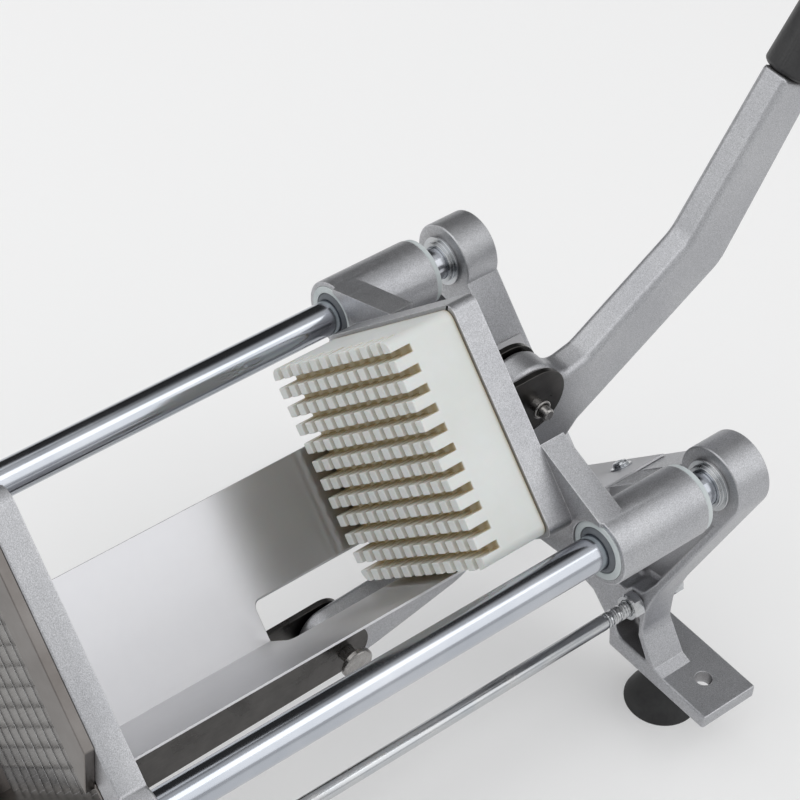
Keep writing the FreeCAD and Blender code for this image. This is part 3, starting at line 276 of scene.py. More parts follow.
def whiteNylon():
    # Milky nylon, with painted warm shade towards the roots of the fingers, in the slots where the light is
    # trapped.
    shader = Shader("whiteNylon")
    cloud = shader.noise(28, 4.0, 0.6)
    fine = shader.noise(1100, 3.0, 0.6)
    tone = shader.ramp(cloud, (0.3, nylonLook["worn"]), (0.7, nylonLook["face"]))
    low, high = spanOf("finger_block")
    tip = spot(0, low.y, 0).y
    root = spot(0, low.y + 10.5, 0).y
    along = shader.add("ShaderNodeSeparateXYZ", {"Vector": shader.place}).outputs["Y"]
    depth = shader.spread(along, 0.25, 1.0, tip + 0.002, root)
    openness = shader.add("ShaderNodeAmbientOcclusion", {"Distance": 0.010}, samples=8).outputs["AO"]
    hidden = shader.spread(openness, 1.0, 0.0, 0.32, 0.90)
    # Painted shade: a warm tan in the slots, deeper towards the finger roots.
    slotShade = shader.math("MULTIPLY", hidden, depth)
    tone = shader.mix(slotShade, tone, nylonLook["slot"])
    rough = shader.spread(fine, 0.40, 0.54)
    skin = shader.bump(fine, 0.12, 0.0001)
    return shader.set(color=tone, rough=rough, normal=skin, gloss=0.42, soft=0.12, softScale=0.003)


def gripVinyl():
    shader = Shader("gripVinyl")
    cells = shader.add("ShaderNodeTexVoronoi", {"Vector": shader.place, "Scale": 750.0},
                       feature="SMOOTH_F1").outputs["Distance"]
    cloud = shader.noise(50, 3.0, 0.6)
    tone = shader.ramp(cloud, (0.3, (0.018, 0.018, 0.019)), (0.7, (0.032, 0.032, 0.033)))
    return shader.set(color=tone, rough=shader.spread(cloud, 0.36, 0.5), gloss=0.5,
                      normal=shader.bump(cells, 0.35, 0.00025))


looks = {
    "cast": castAluminium(), "rod": mottled("polishedRod", polishedRod), "mirror": mirrorSheet(),
    "blade": bladeSteel(), "sleeve": sleeveSteel(), "plate": darkPlate(),
    "zinc": mottled("brightZinc", brightZinc), "pin": mottled("turnedSteel", turnedSteel),
    "nylon": whiteNylon(), "bush": mottled("greyNylon", greyNylon),
    "seal": mottled("sealRubber", sealRubber), "foot": mottled("footRubber", footRubber), "grip": gripVinyl(),
}
print("materials made:", len(looks))


# ---- tools that make a piece ----


def inScene(name, data):
    item = bpy.data.objects.new(name, data)
    bpy.context.scene.collection.objects.link(item)
    return item


def meshOf(bm, name):
    # The finished mesh of a bmesh, which is freed.
    mesh = bpy.data.meshes.new(name)
    bm.to_mesh(mesh)
    bm.free()
    return mesh


def workedMesh(item):
    # The piece's mesh with its modifiers worked in.
    bpy.context.view_layer.update()
    graph = bpy.context.evaluated_depsgraph_get()
    return bpy.data.meshes.new_from_object(item.evaluated_get(graph))


def addObject(name, mesh, look):
    item = inScene(name, mesh)
    if not mesh.materials:
        mesh.materials.append(looks[look])
    item["look"] = look
    return item


def smooth(item, angle=32):
    mesh = item.data
    mesh.polygons.foreach_set("use_smooth", [True] * len(mesh.polygons))
    mesh.set_sharp_from_angle(angle=math.radians(angle))


def edgeSoftener(item, width, segments=2, angle=32):
    # Live bevel, in millimetres, that gives an edge its highlight.
    change = item.modifiers.new("softEdges", "BEVEL")
    change.width = width / 1000
    change.segments = segments
    change.limit_method = "ANGLE"
    change.angle_limit = math.radians(angle)
    change.use_clamp_overlap = True
    change.harden_normals = True
    change.miter_outer = "MITER_ARC"


def settle(item, body, *nodes):
    # Fix a finished piece to its body, and let it stand for the plain nodes it covers.
    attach(item, body)
    if nodes:
        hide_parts(*nodes)


def lathe(name, look, profile, along="Y", centre=(0, 0, 0), segments=72, edge=0.0, steps=2):
    # profile: pairs of (radius, place along the axis) in millimetres. A radius of 0 closes a pole.
    bm = bmesh.new()
    rings = []
    for radius, run in profile:
        ring = []
        for i in range(segments if radius > 0 else 1):
            turn = 2 * math.pi * i / segments
            a, b = radius * math.cos(turn), radius * math.sin(turn)
            point = {"X": (run, a, b), "Y": (b, run, a), "Z": (a, b, run)}[along]
            ring.append(bm.verts.new(spot(*(p + c for p, c in zip(point, centre)))))
        rings.append(ring)
    closed = profile[0][0] > 0
    pairs = list(zip(rings, rings[1:])) + ([(rings[-1], rings[0])] if closed else [])
    for first, second in pairs:
        if len(first) == 1 and len(second) == 1:
            continue
        for i in range(segments):
            j = (i + 1) % segments
            corner = [first[i % len(first)], first[j % len(first)], second[j % len(second)],
                      second[i % len(second)]]
            corner = list(dict.fromkeys(corner))
            bm.faces.new(corner)
    bmesh.ops.recalc_face_normals(bm, faces=bm.faces)
    item = addObject(name, meshOf(bm, name), look)
    smooth(item)
    if edge:
        edgeSoftener(item, edge, steps)
    return item


def joined(name, look, items):
    # One mesh from several, with their modifiers applied.
    bm = bmesh.new()
    for item in items:
        mesh = workedMesh(item)
        mesh.transform(item.matrix_world)
        bm.from_mesh(mesh)
        bpy.data.meshes.remove(mesh)
        bpy.data.objects.remove(item)
    mesh = meshOf(bm, name)
    mesh.materials.clear()
    item = addObject(name, mesh, look)
    smooth(item, 40)
    return item


def tidyCopy(node):
    # The plain node's mesh with its loose triangles welded and its flat faces whole again.
    bm = bmesh.new()
    bm.from_mesh(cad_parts[node].data)
    bmesh.ops.remove_doubles(bm, verts=bm.verts, dist=2e-6)
    bmesh.ops.dissolve_limit(bm, angle_limit=math.radians(0.6), verts=bm.verts, edges=bm.edges)
    return bm


def softened(name, look, node, width, segments=3, angle=35, widthAt=None, hollow=1.0):
    # A node's own shape with the rounded edges that casting, moulding or tumbling leaves.
    # widthAt gives the rounding of an edge from its middle, in millimetres on the core line,
    # and hollow widens it in the inner corners.
    bm = tidyCopy(node)
    limit = math.radians(angle)
    weight = bm.edges.layers.float.new("bevel_weight_edge")
    sharp = {edge for edge in bm.edges if len(edge.link_faces) == 2 and edge.calc_face_angle(0) > limit}
    widest = width
    wanted = {}
    for edge in sharp:
        ask = width
        if widthAt:
            ask = widthAt(millimetres((edge.verts[0].co + edge.verts[1].co) / 2), width)
        if not edge.is_convex:
            ask *= hollow
        along = (edge.verts[1].co - edge.verts[0].co).normalized()
        for vert in edge.verts:
            for other in vert.link_edges:
                if other is edge or other not in sharp:
                    continue
                across = (other.verts[1].co - other.verts[0].co).normalized()
                if abs(along.dot(across)) < 0.85:
                    ask = min(ask, other.calc_length() * 400)
        wanted[edge] = ask
        widest = max(widest, ask)
    for edge, ask in wanted.items():
        edge[weight] = ask / widest
    truth = BVHTree.FromBMesh(bm)
    item = addObject(name, meshOf(bm, name), look)
    smooth(item, angle)
    change = item.modifiers.new("softEdges", "BEVEL")
    change.width = widest / 1000
    change.segments = segments
    change.limit_method = "WEIGHT"
    change.use_clamp_overlap = False
    change.harden_normals = True
    calmEdges(item, truth)
    return item


calm = {"rounds": 4, "stray": 0.0005, "lean": -0.55, "reach": 0.004, "less": 0.45}


def calmEdges(item, truth):
    # Where the rounding folds over itself at a crowded corner, make it narrower until it doesn't.
    for _ in range(calm["rounds"]):
        worked = workedMesh(item)
        bad = []
        for face in worked.polygons:
            if face.area < 1e-10:
                continue
            _, facing, _, far = truth.find_nearest(face.center)
            if far > calm["stray"] + item.modifiers[0].width * 0.3 or face.normal.dot(facing) < calm["lean"]:
                bad.append(face.center.copy())
        bpy.data.meshes.remove(worked)
        if not bad:
            return
        places = KDTree(len(bad))
        for index, place in enumerate(bad):
            places.insert(place, index)
        places.balance()
        mesh = item.data
        weights = mesh.attributes["bevel_weight_edge"].data
        for edge in mesh.edges:
            if weights[edge.index].value <= 0:
                continue
            ends = [mesh.vertices[i].co for i in edge.vertices]
            spots = ends + [(ends[0] + ends[1]) / 2]
            if min(places.find(place)[2] for place in spots) < calm["reach"]:
                weights[edge.index].value *= calm["less"]
    print("  still crowded on", item.name, len(bad))


# ---- geometry node trees ----


class Geometry(Nodes):
    def __init__(self, name, inputs):
        self.tree = bpy.data.node_groups.new(name, "GeometryNodeTree")
        self.tree.interface.new_socket("Geometry", in_out="OUTPUT", socket_type="NodeSocketGeometry")
        for label, kind in inputs.items():
            self.tree.interface.new_socket(label, in_out="INPUT", socket_type=kind)
        self.start = self.tree.nodes.new("NodeGroupInput")
        self.end = self.tree.nodes.new("NodeGroupOutput")

    def value(self, label):
        return self.start.outputs[label]

    def finish(self, geometry, look):
        real = self.add("GeometryNodeRealizeInstances", {"Geometry": geometry})
        paint = self.add("GeometryNodeSetMaterial", {"Geometry": real.outputs["Geometry"],
                                                     "Material": looks[look]})
        self.tree.links.new(paint.outputs["Geometry"], self.end.inputs["Geometry"])
        return self.tree


def grown(name, look, tree, inputs, matrix=None):
    # Run a tree on an empty mesh with its named inputs set, and keep the result as a plain mesh.
    holder = inScene(name + "Holder", bpy.data.meshes.new(name + "Holder"))
    change = holder.modifiers.new("grow", "NODES")
    change.node_group = tree
    for item in tree.interface.items_tree:
        if item.item_type == "SOCKET" and item.in_out == "INPUT" and item.name in inputs:
            change[item.identifier] = inputs[item.name]
    mesh = workedMesh(holder)
    bpy.data.objects.remove(holder)
    mesh.name = name
    if matrix:
        mesh.transform(matrix)
    mesh.materials.clear()
    item = addObject(name, mesh, look)
    smooth(item)
    return item


def scatterTree():
    # Copies of one template on the points of a list, each turned by the same angles.
    tree = Geometry("copiesOnPoints", {"Template": "NodeSocketObject", "Places": "NodeSocketObject",
                                       "Turn": "NodeSocketVector"})
    places = tree.add("GeometryNodeObjectInfo", {"Object": tree.value("Places")}, transform_space="ORIGINAL")
    shape = tree.add("GeometryNodeObjectInfo", {"Object": tree.value("Template")}, transform_space="ORIGINAL")
    points = tree.add("GeometryNodeMeshToPoints", {"Mesh": places.outputs["Geometry"]})
    turn = tree.add("FunctionNodeEulerToRotation", {"Euler": tree.value("Turn")})
    copies = tree.add("GeometryNodeInstanceOnPoints", {
        "Points": points.outputs["Points"], "Instance": shape.outputs["Geometry"],
        "Rotation": turn.outputs["Rotation"]})
    return tree, copies.outputs["Instances"]


def scattered(name, look, template, points, turn=(0, 0, 0)):
    # template: an object drawn about the origin in metres. points: places in millimetres on the core line.
    tree, copies = scatterTree()
    tree.finish(copies, look)
    mesh = bpy.data.meshes.new(name + "Places")
    mesh.from_pydata([tuple(spot(*point)) for point in points], [], [])
    places = inScene(name + "Places", mesh)
    result = grown(name, look, tree.tree, {"Template": template, "Places": places,
                                           "Turn": tuple(math.radians(a) for a in turn)})
    bpy.data.objects.remove(places)
    bpy.data.objects.remove(template)
    return result


def threadTree(look):
    # A thread: a small triangle swept along a helix about Z.
    tree = Geometry("thread", dict.fromkeys(("Turns", "Pitch", "Radius"), "NodeSocketFloat"))
    height = tree.math("MULTIPLY", tree.value("Turns"), tree.value("Pitch"))
    resolution = tree.add("FunctionNodeInputInt", integer=28)
    helix = tree.add("GeometryNodeCurveSpiral", {
        "Resolution": resolution.outputs[0], "Rotations": tree.value("Turns"), "Height": height,
        "Start Radius": tree.value("Radius"), "End Radius": tree.value("Radius")})
    ridge = tree.add("GeometryNodeCurvePrimitiveCircle", {"Resolution": 4, "Radius": tree.math(
        "MULTIPLY", tree.value("Pitch"), 0.46)})
    sweep = tree.add("GeometryNodeCurveToMesh", {"Curve": helix.outputs[0], "Profile Curve": ridge.outputs[0],
                                                "Fill Caps": True})
    return tree.finish(sweep.outputs["Mesh"], look)


def thread(name, look, radius, pitch, start, end, x, z):
    # A threaded length along Y at (x, z), from start to end in millimetres.
    turns = (end - start) / pitch
    stand = Matrix.Translation(spot(x, end, z)) @ Matrix.Rotation(math.radians(90), 4, "X")
    sizes = {"Turns": turns, "Pitch": pitch / 1000, "Radius": radius / 1000}
    return grown(name, look, threadTree(look), sizes, stand)


print("tools ready")


# ---- castings ----

bossPlace = (centreOf("guide_rod_right").x, centreOf("guide_rod_right").z)
hubPlace = (centreOf("upper_pivot_pin").y, centreOf("upper_pivot_pin").z)
kneePlace = (centreOf("lower_pivot_pin").y, centreOf("lower_pivot_pin").z)
rearEnd = spanOf("rear_frame")[1].y


# How far from an axis an edge counts as belonging to a feature, and how widely it is then rounded.
reach = {"bore": 10, "frameBoss": 19.6, "carriageBoss": 18, "pinHole": 7, "slimArm": 7.5}
narrow = {"bore": 0.4, "frameBoss": 0.9, "carriageBoss": 0.45, "pinHole": 0.3, "slimArm": 1.2}


def fromBoss(place):
    return math.hypot(abs(place.x) - bossPlace[0], place.z - bossPlace[1])


def rearFrameEdges(place, width):
    # The rod bosses are turned to a wide round at the back, and the bores stay crisp.
    if fromBoss(place) < reach["bore"]:
        return narrow["bore"]
    if fromBoss(place) < reach["frameBoss"]:
        return castings["rear_frame"]["bossRound"] if place.y > rearEnd - 1 else narrow["frameBoss"]
    return width


def frontFrameEdges(place, width):
    return narrow["bore"] if fromBoss(place) < reach["bore"] else width


def carriageEdges(place, width):
    return narrow["carriageBoss"] if fromBoss(place) < reach["carriageBoss"] else width


def leverEdges(place, width):
    for y, z in (hubPlace, kneePlace):
        if math.hypot(place.y - y, place.z - z) < reach["pinHole"]:
            return narrow["pinHole"]
    return narrow["slimArm"] if abs(place.x) < reach["slimArm"] else width


castings = {
    "front_frame": {"name": "frontFrame", "body": "root", "width": 1.3, "edges": frontFrameEdges,
                    "hollow": 2.4},
    "rear_frame": {"name": "rearFrame", "body": "root", "width": 1.3, "edges": rearFrameEdges, "hollow": 2.4,
                   "bossRound": 4.5},
    "pusher_carriage": {"name": "pusherCarriage", "body": "pusher", "width": 1.2, "edges": carriageEdges,
                        "hollow": 2.2},
    "handle_lever": {"name": "handleLever", "body": "lever", "width": 3.6, "edges": leverEdges,
                     "hollow": 1.0},
}
for node, style in castings.items():
    piece = softened(style["name"], "cast", node, style["width"], 4, 30, style["edges"], style["hollow"])
    settle(piece, style["body"], node)
print("castings made")


# ---- guide rods, rings and bushes ----

rod = {"radius": 8.5, "chamfer": 0.9, "edge": 0.15, "height": -5, "bore": 8.56}
stopRing = {"neck": 10.5, "collar": 13, "step": 0.55, "edge": 0.35}
frontBush = {"recess": 11.56, "recessDepth": 3.4, "flange": 15, "edge": 0.4}
rodSeal = {"lip": ((9.0, 0), (9.9, 0.1), (10.6, 0.9), (11.4, 1.7), (11.5, 2.4)), "rim": 0.5, "edge": 0.15}
rearBush = {"body": 13, "collar": 16.9, "collarDepth": 3, "edge": 0.5}
bossX = (spanOf("guide_rod_right")[0].x + spanOf("guide_rod_right")[1].x) / 2
sides = {"left": -1, "right": 1}
for side, sign in sides.items():
    centre = (sign * bossX, 0, rod["height"])
    bore = rod["bore"]
    node = "guide_rod_" + side
    low, high = spanOf(node)
    r, c = rod["radius"], rod["chamfer"]
    piece = lathe("guideRod." + side, "rod", [(0, low.y), (r - c, low.y), (r, low.y + c), (r, high.y - c),
                                               (r - c, high.y), (0, high.y)], "Y", centre, 96, rod["edge"])
    settle(piece, "root", node)

    node = "stop_ring_" + side
    low, high = spanOf(node)
    mid = low.y + (high.y - low.y) * stopRing["step"]
    neck, collar = stopRing["neck"], stopRing["collar"]
    piece = lathe("stopRing." + side, "zinc", [(bore, low.y), (neck, low.y), (neck, mid), (collar, mid),
                                                (collar, high.y), (bore, high.y)],
                  "Y", centre, 96, stopRing["edge"], 3)
    settle(piece, "root", node)

    node = "front_bush_" + side
    low, high = spanOf(node)
    floor = low.y + frontBush["recessDepth"]
    piece = lathe("frontBush." + side, "bush", [
        (bore, floor), (frontBush["recess"], floor), (frontBush["recess"], low.y),
        (frontBush["flange"], low.y), (frontBush["flange"], high.y), (bore, high.y)],
        "Y", centre, 96, frontBush["edge"], 3)
    settle(piece, "pusher", node)

    node = "rod_seal_" + side
    low, high = spanOf(node)
    lip = [(radius, low.y + run) for radius, run in rodSeal["lip"]]
    piece = lathe("rodSeal." + side, "seal", [(bore, low.y + rodSeal["rim"]), *lip, (lip[-1][0], high.y),
                                               (bore, high.y)], "Y", centre, 96, rodSeal["edge"])
    settle(piece, "pusher", node)

    node = "rear_bush_" + side
    low, high = spanOf(node)
    shoulder = high.y - rearBush["collarDepth"]
    body, collar = rearBush["body"], rearBush["collar"]
    piece = lathe("rearBush." + side, "bush", [
        (bore, low.y), (body, low.y), (body, shoulder), (collar, shoulder), (collar, high.y), (bore, high.y)],
        "Y", centre, 96, rearBush["edge"], 3)
    settle(piece, "pusher", node)
print("rods and bushes made")


# ---- trough ----

piece = softened("vTrough", "mirror", "v_trough", 0.25, 2, 20)
settle(piece, "root", "v_trough")
print("trough made")


# ---- finger block ----

piece = softened("fingerBlock", "nylon", "finger_block", 0.55, 3, 30)
settle(piece, "pusher", "finger_block")
print("finger block made")


# ---- blades ----

piece = softened("bladeCartridge", "sleeve", "blade_cartridge", 0.5, 3, 30)
settle(piece, "root", "blade_cartridge")

blade = {"pitch": 9.525, "count": 11, "length": 116.0, "depth": 4.1, "thick": 0.5, "edge": 1.3}


def bladeTemplate(name, start):
    # One strip along X, ground to an edge on the side that meets the potato.
    half, thick, depth, ground = blade["length"] / 2, blade["thick"] / 2, blade["depth"], blade["edge"]
    section = [(start, -thick), (start, thick), (start + depth - ground, thick), (start + depth, 0.03),
               (start + depth, -0.03), (start + depth - ground, -thick)]
    bm = bmesh.new()
    ends = [[bm.verts.new((x / 1000, y / 1000, z / 1000)) for y, z in section] for x in (-half, half)]
    count = len(section)
    for i in range(count):
        j = (i + 1) % count
        bm.faces.new((ends[0][i], ends[0][j], ends[1][j], ends[1][i]))
    bm.faces.new(ends[0][::-1])
    bm.faces.new(ends[1])
    bmesh.ops.recalc_face_normals(bm, faces=bm.faces)
    return inScene(name, meshOf(bm, name))


for node, lean in (("blade_strips_rising", 1), ("blade_strips_falling", -1)):
    low, high = spanOf(node)
    points = []
    for index in range(blade["count"]):
        shift = (index - (blade["count"] - 1) / 2) * blade["pitch"] / math.sqrt(2)
        points.append((-lean * shift, 0, shift))
    template = bladeTemplate(node + "Template", low.y)
    piece = scattered("bladeStrips." + ("rising" if lean > 0 else "falling"), "blade", template, points,
                      (0, -45 * lean, 0))
    settle(piece, "root", node)
print("blades made")


# ---- nuts, screws and rods below ----


nut = {"flats": 13, "thick": 6.5, "bore": 4.05, "lead": 0.6, "turned": 0.97, "cornerDrop": 0.9,
       "cornerCut": 0.985, "steps": 48}


def hexNut(name):
    # A nut about the origin with its axis along Y; its corners are turned back at both faces.
    flats, thick, bore, lead = nut["flats"], nut["thick"], nut["bore"], nut["lead"]
    radius, face, steps = flats / math.sqrt(3), flats / 2 * nut["turned"], nut["steps"]
    bm = bmesh.new()
    rings = []
    for r, y, cornered in ((bore, lead, False), (bore + lead, 0, False), (face, 0, False),
                           (radius, nut["cornerDrop"], True), (radius, thick - nut["cornerDrop"], True),
                           (face, thick, False), (bore + lead, thick, False), (bore, thick - lead, False)):
        ring = []
        for i in range(steps):
            turn = 2 * math.pi * i / steps
            reached = r
            if cornered:
                part = (turn + math.pi / 6) % (math.pi / 3) - math.pi / 6
                reached = min(flats / 2 / math.cos(part), radius * nut["cornerCut"])
            corner = Vector((reached * math.sin(turn), y, reached * math.cos(turn)))
            ring.append(bm.verts.new(corner / 1000))
        rings.append(ring)
    for first, second in zip(rings, rings[1:] + rings[:1]):
        for i in range(steps):
            j = (i + 1) % steps
            bm.faces.new((first[i], first[j], second[j], second[i]))
    bmesh.ops.recalc_face_normals(bm, faces=bm.faces)
    return inScene(name, meshOf(bm, name))


tieX, tieZ = centreOf("tie_rod_right").x, centreOf("tie_rod_right").z
plate = {"front": 13.5, "rear": 20}
frontBack, rearFront = 0.0, spanOf("rear_frame")[0].y
nutStarts = [-plate["front"] - nut["thick"], frontBack, rearFront - nut["thick"], rearFront + plate["rear"]]
points = [(sign * tieX, y, tieZ) for sign in sides.values() for y in nutStarts]
piece = scattered("tieRodNuts", "zinc", hexNut("nutTemplate"), points)
settle(piece, "root", "tie_rod_nuts")

tie = {"radius": 4.0, "neck": 3.62, "threadFront": 14, "threadRear": 22, "pitch": 1.25, "chamfer": 0.6,
       "slope": 0.5, "clear": 1.2}
for side, sign in sides.items():
    low, high = spanOf("tie_rod_" + side)
    neckRear = rearFront - tie["threadRear"]
    neckFront = frontBack + tie["threadFront"]
    neck, radius, chamfer, slope = tie["neck"], tie["radius"], tie["chamfer"], tie["slope"]
    middle = lathe("tieCore", "zinc", [
        (0, low.y), (neck - chamfer, low.y), (neck, low.y + chamfer), (neck, neckFront),
        (radius, neckFront + slope), (radius, neckRear - slope), (neck, neckRear), (neck, high.y - chamfer),
        (neck - chamfer, high.y), (0, high.y)], "Y", (sign * tieX, 0, tieZ), 48)
    ridge = radius - 0.34 * tie["pitch"]
    parts = [middle]
    for label, start, end in (("tieThreadA", low.y + tie["clear"], neckFront - chamfer),
                              ("tieThreadB", neckRear + chamfer, high.y - tie["clear"])):
        parts.append(thread(label, "zinc", ridge, tie["pitch"], start, end, sign * tieX, tieZ))
    piece = joined("tieRod." + side, "zinc", parts)
    settle(piece, "root", "tie_rod_" + side)
print("tie rods made")


# ---- screw heads ----


def islandsOf(node):
    # The separate solids of a node, each as a list of places in metres.
    bm = tidyCopy(node)
    left = set(bm.verts)
    found = []
    while left:
        wave = [left.pop()]
        island = []
        while wave:
            vert = wave.pop()
            island.append(vert.co.copy())
            for edge in vert.link_edges:
                other = edge.other_vert(vert)
                if other in left:
                    left.remove(other)
                    wave.append(other)
        found.append(island)
    bm.free()
    return found


def crossOutline(size):
    arm, half = size, size * 0.24
    return [(arm, half), (half, half), (half, arm), (-half, arm), (-half, half), (-arm, half),
            (-arm, -half), (-half, -half), (-half, -arm), (half, -arm), (half, -half), (arm, -half)]


def hexOutline(size):
    return [(size * math.cos(math.radians(60 * i)), size * math.sin(math.radians(60 * i))) for i in range(6)]


def driveTool(node, drive):
    # A tool that cuts the screwdriver or key recess into the head of every screw of a node.
    bm = bmesh.new()
    outline = {"cross": crossOutline, "hex": hexOutline}[drive["kind"]](drive["size"])
    for island in islandsOf(node):
        middle = sum(island, Vector()) / len(island)
        axis = Vector(drive["axis"](math.copysign(1, middle.x))).normalized()
        top = max(place.dot(axis) for place in island)
        crown = [place for place in island if top - place.dot(axis) < 0.0001]
        centre = sum(crown, Vector()) / len(crown)
        turn = axis.to_track_quat("Z", "Y")
        rings = []
        for rise, taper in ((drive["above"], 1.0), (-drive["depth"], drive["taper"])):
            ring = [turn @ Vector((x * taper, y * taper, rise)) / 1000 for x, y in outline]
            rings.append([bm.verts.new(centre + corner) for corner in ring])
        for i in range(len(outline)):
            j = (i + 1) % len(outline)
            bm.faces.new((rings[0][i], rings[0][j], rings[1][j], rings[1][i]))
        bm.faces.new(rings[0])
        bm.faces.new(rings[1])
    bmesh.ops.recalc_face_normals(bm, faces=bm.faces)
    return inScene("driveTool", meshOf(bm, "driveTool"))


def cutInto(item, tool):
    # Take the tool out of the piece and keep the result as a plain mesh.
    change = item.modifiers.new("drive", "BOOLEAN")
    change.operation = "DIFFERENCE"
    change.solver = "EXACT"
    change.object = tool
    mesh = workedMesh(item)
    item.modifiers.clear()
    item.data = mesh
    bpy.data.objects.remove(tool)
    return item


cross = {"kind": "cross", "taper": 0.5, "above": 0.6}
socket = {"kind": "hex", "taper": 1.0, "above": 0.6}
drives = {
    "trough_screws": {**cross, "size": 2.2, "depth": 1.4, "axis": lambda side: (-side, 0, 1)},
    "block_screws": {**cross, "size": 2.7, "depth": 2.0, "axis": lambda side: (0, 1, 0)},
    "clevis_screws": {**cross, "size": 2.5, "depth": 1.8, "axis": lambda side: (0, 1, 0)},
    "rod_end_screws": {**socket, "size": 3.0, "depth": 3.0, "axis": lambda side: (0, -1, 0)},
    "link_anchor_screws": {**socket, "size": 3.2, "depth": 2.6, "axis": lambda side: (side, 0, 0)},
}


def knurlTree(look):
    # Ribs standing round a circle, each a four-sided bar with one edge outwards.
    tree = Geometry("knurl", {"Ribs": "NodeSocketInt", "Radius": "NodeSocketFloat",
                              "Depth": "NodeSocketFloat", "Length": "NodeSocketFloat"})
    ring = tree.add("GeometryNodeMeshCircle", {"Vertices": tree.value("Ribs"),
                                               "Radius": tree.value("Radius")})
    points = tree.add("GeometryNodeMeshToPoints", {"Mesh": ring.outputs["Mesh"]})
    bar = tree.add("GeometryNodeMeshCylinder", {"Vertices": 4, "Radius": tree.value("Depth"),
                                                "Depth": tree.value("Length")})
    place = tree.add("GeometryNodeInputPosition")
    facing = tree.add("FunctionNodeAlignRotationToVector", {"Vector": place.outputs["Position"]}, axis="X")
    copies = tree.add("GeometryNodeInstanceOnPoints", {
        "Points": points.outputs["Points"], "Instance": bar.outputs["Mesh"],
        "Rotation": facing.outputs["Rotation"]})
    return tree.finish(copies.outputs["Instances"], look)


thumb = {"ribs": 44, "radius": 8.72, "depth": 0.55, "from": 1.6, "length": 7.2}
low, high = spanOf("blade_thumb_screws")
parts = [softened("thumbHeads", "pin", "blade_thumb_screws", 0.4, 2, 30)]
for island in islandsOf("blade_thumb_screws"):
    z = millimetres(sum(island, Vector()) / len(island)).z
    stand = Matrix.Translation(spot(0, low.y + thumb["from"] + thumb["length"] / 2, z))
    parts.append(grown("thumbKnurl", "pin", knurlTree("pin"), {
        "Ribs": thumb["ribs"], "Radius": thumb["radius"] / 1000, "Depth": thumb["depth"] / 1000,
        "Length": thumb["length"] / 1000}, stand @ Matrix.Rotation(math.radians(90), 4, "X")))
settle(joined("bladeThumbScrews", "pin", parts), "root", "blade_thumb_screws")
print("thumb screws made")

plainPieces = {
    "rod_end_screws": ("rodEndScrews", "zinc", "root", 0.35),
    "rod_end_washers": ("rodEndWashers", "zinc", "root", 0.25),
    "trough_screws": ("troughScrews", "zinc", "root", 0.3),
    "trough_washers": ("troughWashers", "zinc", "root", 0.2),
    "suction_foot_front_left": ("suctionFoot.frontLeft", "foot", "root", 0.8),
    "suction_foot_front_right": ("suctionFoot.frontRight", "foot", "root", 0.8),
    "suction_foot_rear_left": ("suctionFoot.rearLeft", "foot", "root", 0.8),
    "suction_foot_rear_right": ("suctionFoot.rearRight", "foot", "root", 0.8),
    "foot_studs": ("footStuds", "zinc", "root", 0.2),
    "link_anchor_screws": ("linkAnchorScrews", "zinc", "root", 0.4),
    "block_screws": ("blockScrews", "zinc", "pusher", 0.3),
    "clevis_plate_left": ("clevisPlate.left", "plate", "pusher", 0.3),
    "clevis_plate_right": ("clevisPlate.right", "plate", "pusher", 0.3),
    "clevis_screws": ("clevisScrews", "zinc", "pusher", 0.25),
    "upper_pivot_pin": ("upperPivotPin", "pin", "pusher", 0.3),
    "upper_split_ring": ("upperSplitRing", "pin", "pusher", 0.0),
    "handle_grip": ("handleGrip", "grip", "lever", 0.8),
    "upper_handle_bush": ("upperHandleBush", "bush", "lever", 0.2),
    "lower_handle_bush": ("lowerHandleBush", "bush", "lever", 0.2),
    "link_plate_left": ("linkPlate.left", "plate", "links", 0.35),
    "link_plate_right": ("linkPlate.right", "plate", "links", 0.35),
    "lower_pivot_pin": ("lowerPivotPin", "pin", "links", 0.35),
    "lower_split_ring": ("lowerSplitRing", "pin", "links", 0.0),
    "link_spacer": ("linkSpacer", "pin", "links", 0.3), "link_axle": ("linkAxle", "pin", "links", 0.2),
}
for node, (name, look, body, width) in plainPieces.items():
    piece = softened(name, look, node, max(width, 0.05), 2, 30)
    if node in drives:
        piece = cutInto(piece, driveTool(node, drives[node]))
    settle(piece, body, node)
print("small pieces made")


# ---- stage, light and camera ----

stage = {"floor": 30.0, "pale": 0.94, "glow": 0.30}


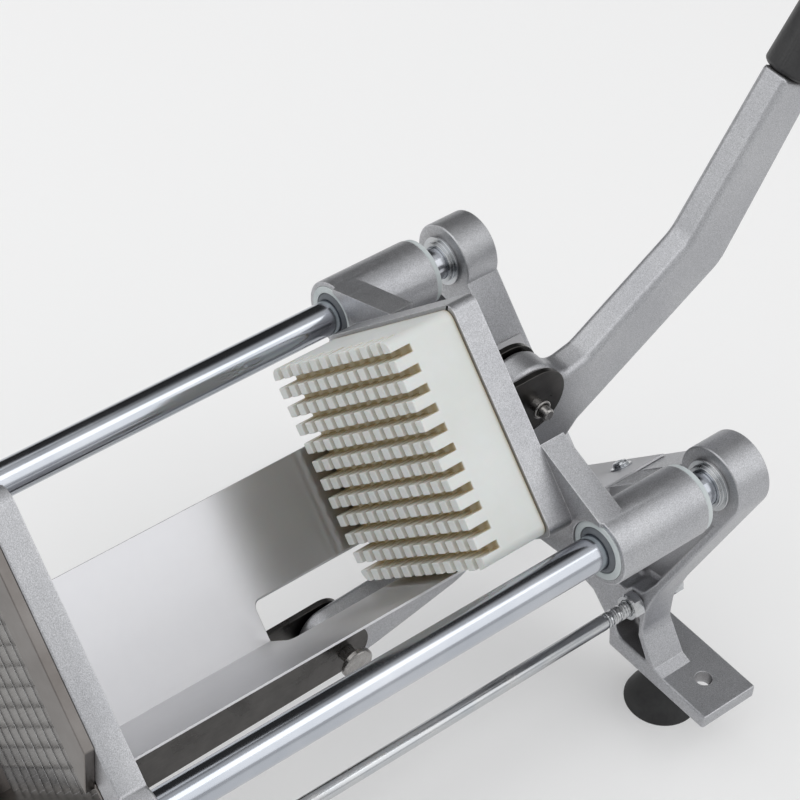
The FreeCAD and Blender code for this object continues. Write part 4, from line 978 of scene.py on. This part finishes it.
def paleFloor():
    # A pale floor that is partly white of itself where it is seen, and keeps the shadow.
    bm = bmesh.new()
    bmesh.ops.create_grid(bm, x_segments=1, y_segments=1, size=stage["floor"])
    mesh = meshOf(bm, "floor")
    material = bpy.data.materials.new("paleFloor")
    material.use_nodes = True
    tree = material.node_tree
    skin = tree.nodes["Principled BSDF"]
    skin.inputs["Base Color"].default_value = (stage["pale"], stage["pale"], stage["pale"], 1)
    skin.inputs["Roughness"].default_value = 0.9
    skin.inputs["Specular IOR Level"].default_value = 0.1
    glow = tree.nodes.new("ShaderNodeEmission")
    glow.inputs["Strength"].default_value = 1.0
    path = tree.nodes.new("ShaderNodeLightPath")
    seen = path.outputs["Is Camera Ray"]
    for other in ("Is Glossy Ray", "Is Transmission Ray"):
        both = tree.nodes.new("ShaderNodeMath")
        both.operation = "MAXIMUM"
        tree.links.new(seen, both.inputs[0])
        tree.links.new(path.outputs[other], both.inputs[1])
        seen = both.outputs[0]
    part = tree.nodes.new("ShaderNodeMath")
    part.operation = "MULTIPLY"
    part.inputs[1].default_value = stage["glow"]
    tree.links.new(seen, part.inputs[0])
    blend = tree.nodes.new("ShaderNodeMixShader")
    tree.links.new(part.outputs[0], blend.inputs[0])
    tree.links.new(skin.outputs["BSDF"], blend.inputs[1])
    tree.links.new(glow.outputs["Emission"], blend.inputs[2])
    tree.links.new(blend.outputs["Shader"], tree.nodes["Material Output"].inputs["Surface"])
    mesh.materials.append(material)
    inScene("floor", mesh)


def softBox(name, place, target, size, power):
    light = bpy.data.lights.new(name, "AREA")
    light.shape = "RECTANGLE"
    light.size, light.size_y = size
    light.energy = power
    item = inScene(name, light)
    item.location = place
    item.rotation_euler = (Vector(target) - Vector(place)).to_track_quat("-Z", "Y").to_euler()
    item.visible_camera = False


sky = {"pale": 0.66, "dark": 0.035, "darkSide": (-0.93, 0.25, 0.27), "from": 0.42, "to": 0.72}


def studioWorld():
    # A plain pale room with one dark side, so that polished metal has something to show.
    world = bpy.data.worlds.new("studio")
    bpy.context.scene.world = world
    world.use_nodes = True
    tree = world.node_tree
    where = tree.nodes.new("ShaderNodeTexCoord")
    lean = tree.nodes.new("ShaderNodeVectorMath")
    lean.operation = "DOT_PRODUCT"
    lean.inputs[1].default_value = sky["darkSide"]
    shade = tree.nodes.new("ShaderNodeMapRange")
    shade.interpolation_type = "SMOOTHSTEP"
    for label, setting in {"From Min": sky["from"], "From Max": sky["to"], "To Min": sky["pale"],
                           "To Max": sky["dark"]}.items():
        shade.inputs[label].default_value = setting
    tree.links.new(where.outputs["Generated"], lean.inputs[0])
    tree.links.new(lean.outputs["Value"], shade.inputs["Value"])
    tree.links.new(shade.outputs["Result"], tree.nodes["Background"].inputs["Strength"])
    tree.nodes["Background"].inputs["Color"].default_value = (0.99, 0.995, 1.0, 1)


# The photograph's view: its place and axes about the core line, and its focal length in its own 800 px frame.
shot = {"place": (631.19, -384.39, 870.58), "right": (0.63438, 0.77026, 0.06527),
        "down": (0.56720, -0.40645, -0.71630), "focal": 2683, "frame": 800}


def photoCamera():
    data = bpy.data.cameras.new("camera")
    data.sensor_width = 36
    data.lens = data.sensor_width * shot["focal"] / shot["frame"]
    data.clip_end = 20
    right = Vector(shot["right"])
    up = -Vector(shot["down"])
    turn = Matrix((right, up, right.cross(up))).transposed().to_4x4()
    item = inScene("camera", data)
    item.matrix_world = Matrix.Translation(spot(*shot["place"])) @ turn
    bpy.context.scene.camera = item


paleFloor()
studioWorld()
lamps = {
    "keyBox": {"place": (-0.75, -0.85, 1.75), "size": (3.2, 2.8), "power": 24},
    "backBox": {"place": (1.18, 0.92, 1.17), "size": (1.5, 1.25), "power": 4.7},
    "topBox": {"place": (0.75, 0.62, 1.95), "size": (0.9, 0.7), "power": 3.2},
}
for name, lamp in lamps.items():
    softBox(name, lamp["place"], (0, 0, 0.15), lamp["size"], lamp["power"])
photoCamera()
view = bpy.context.scene.view_settings
view.view_transform = "Standard"
print("stage, lights and camera made")
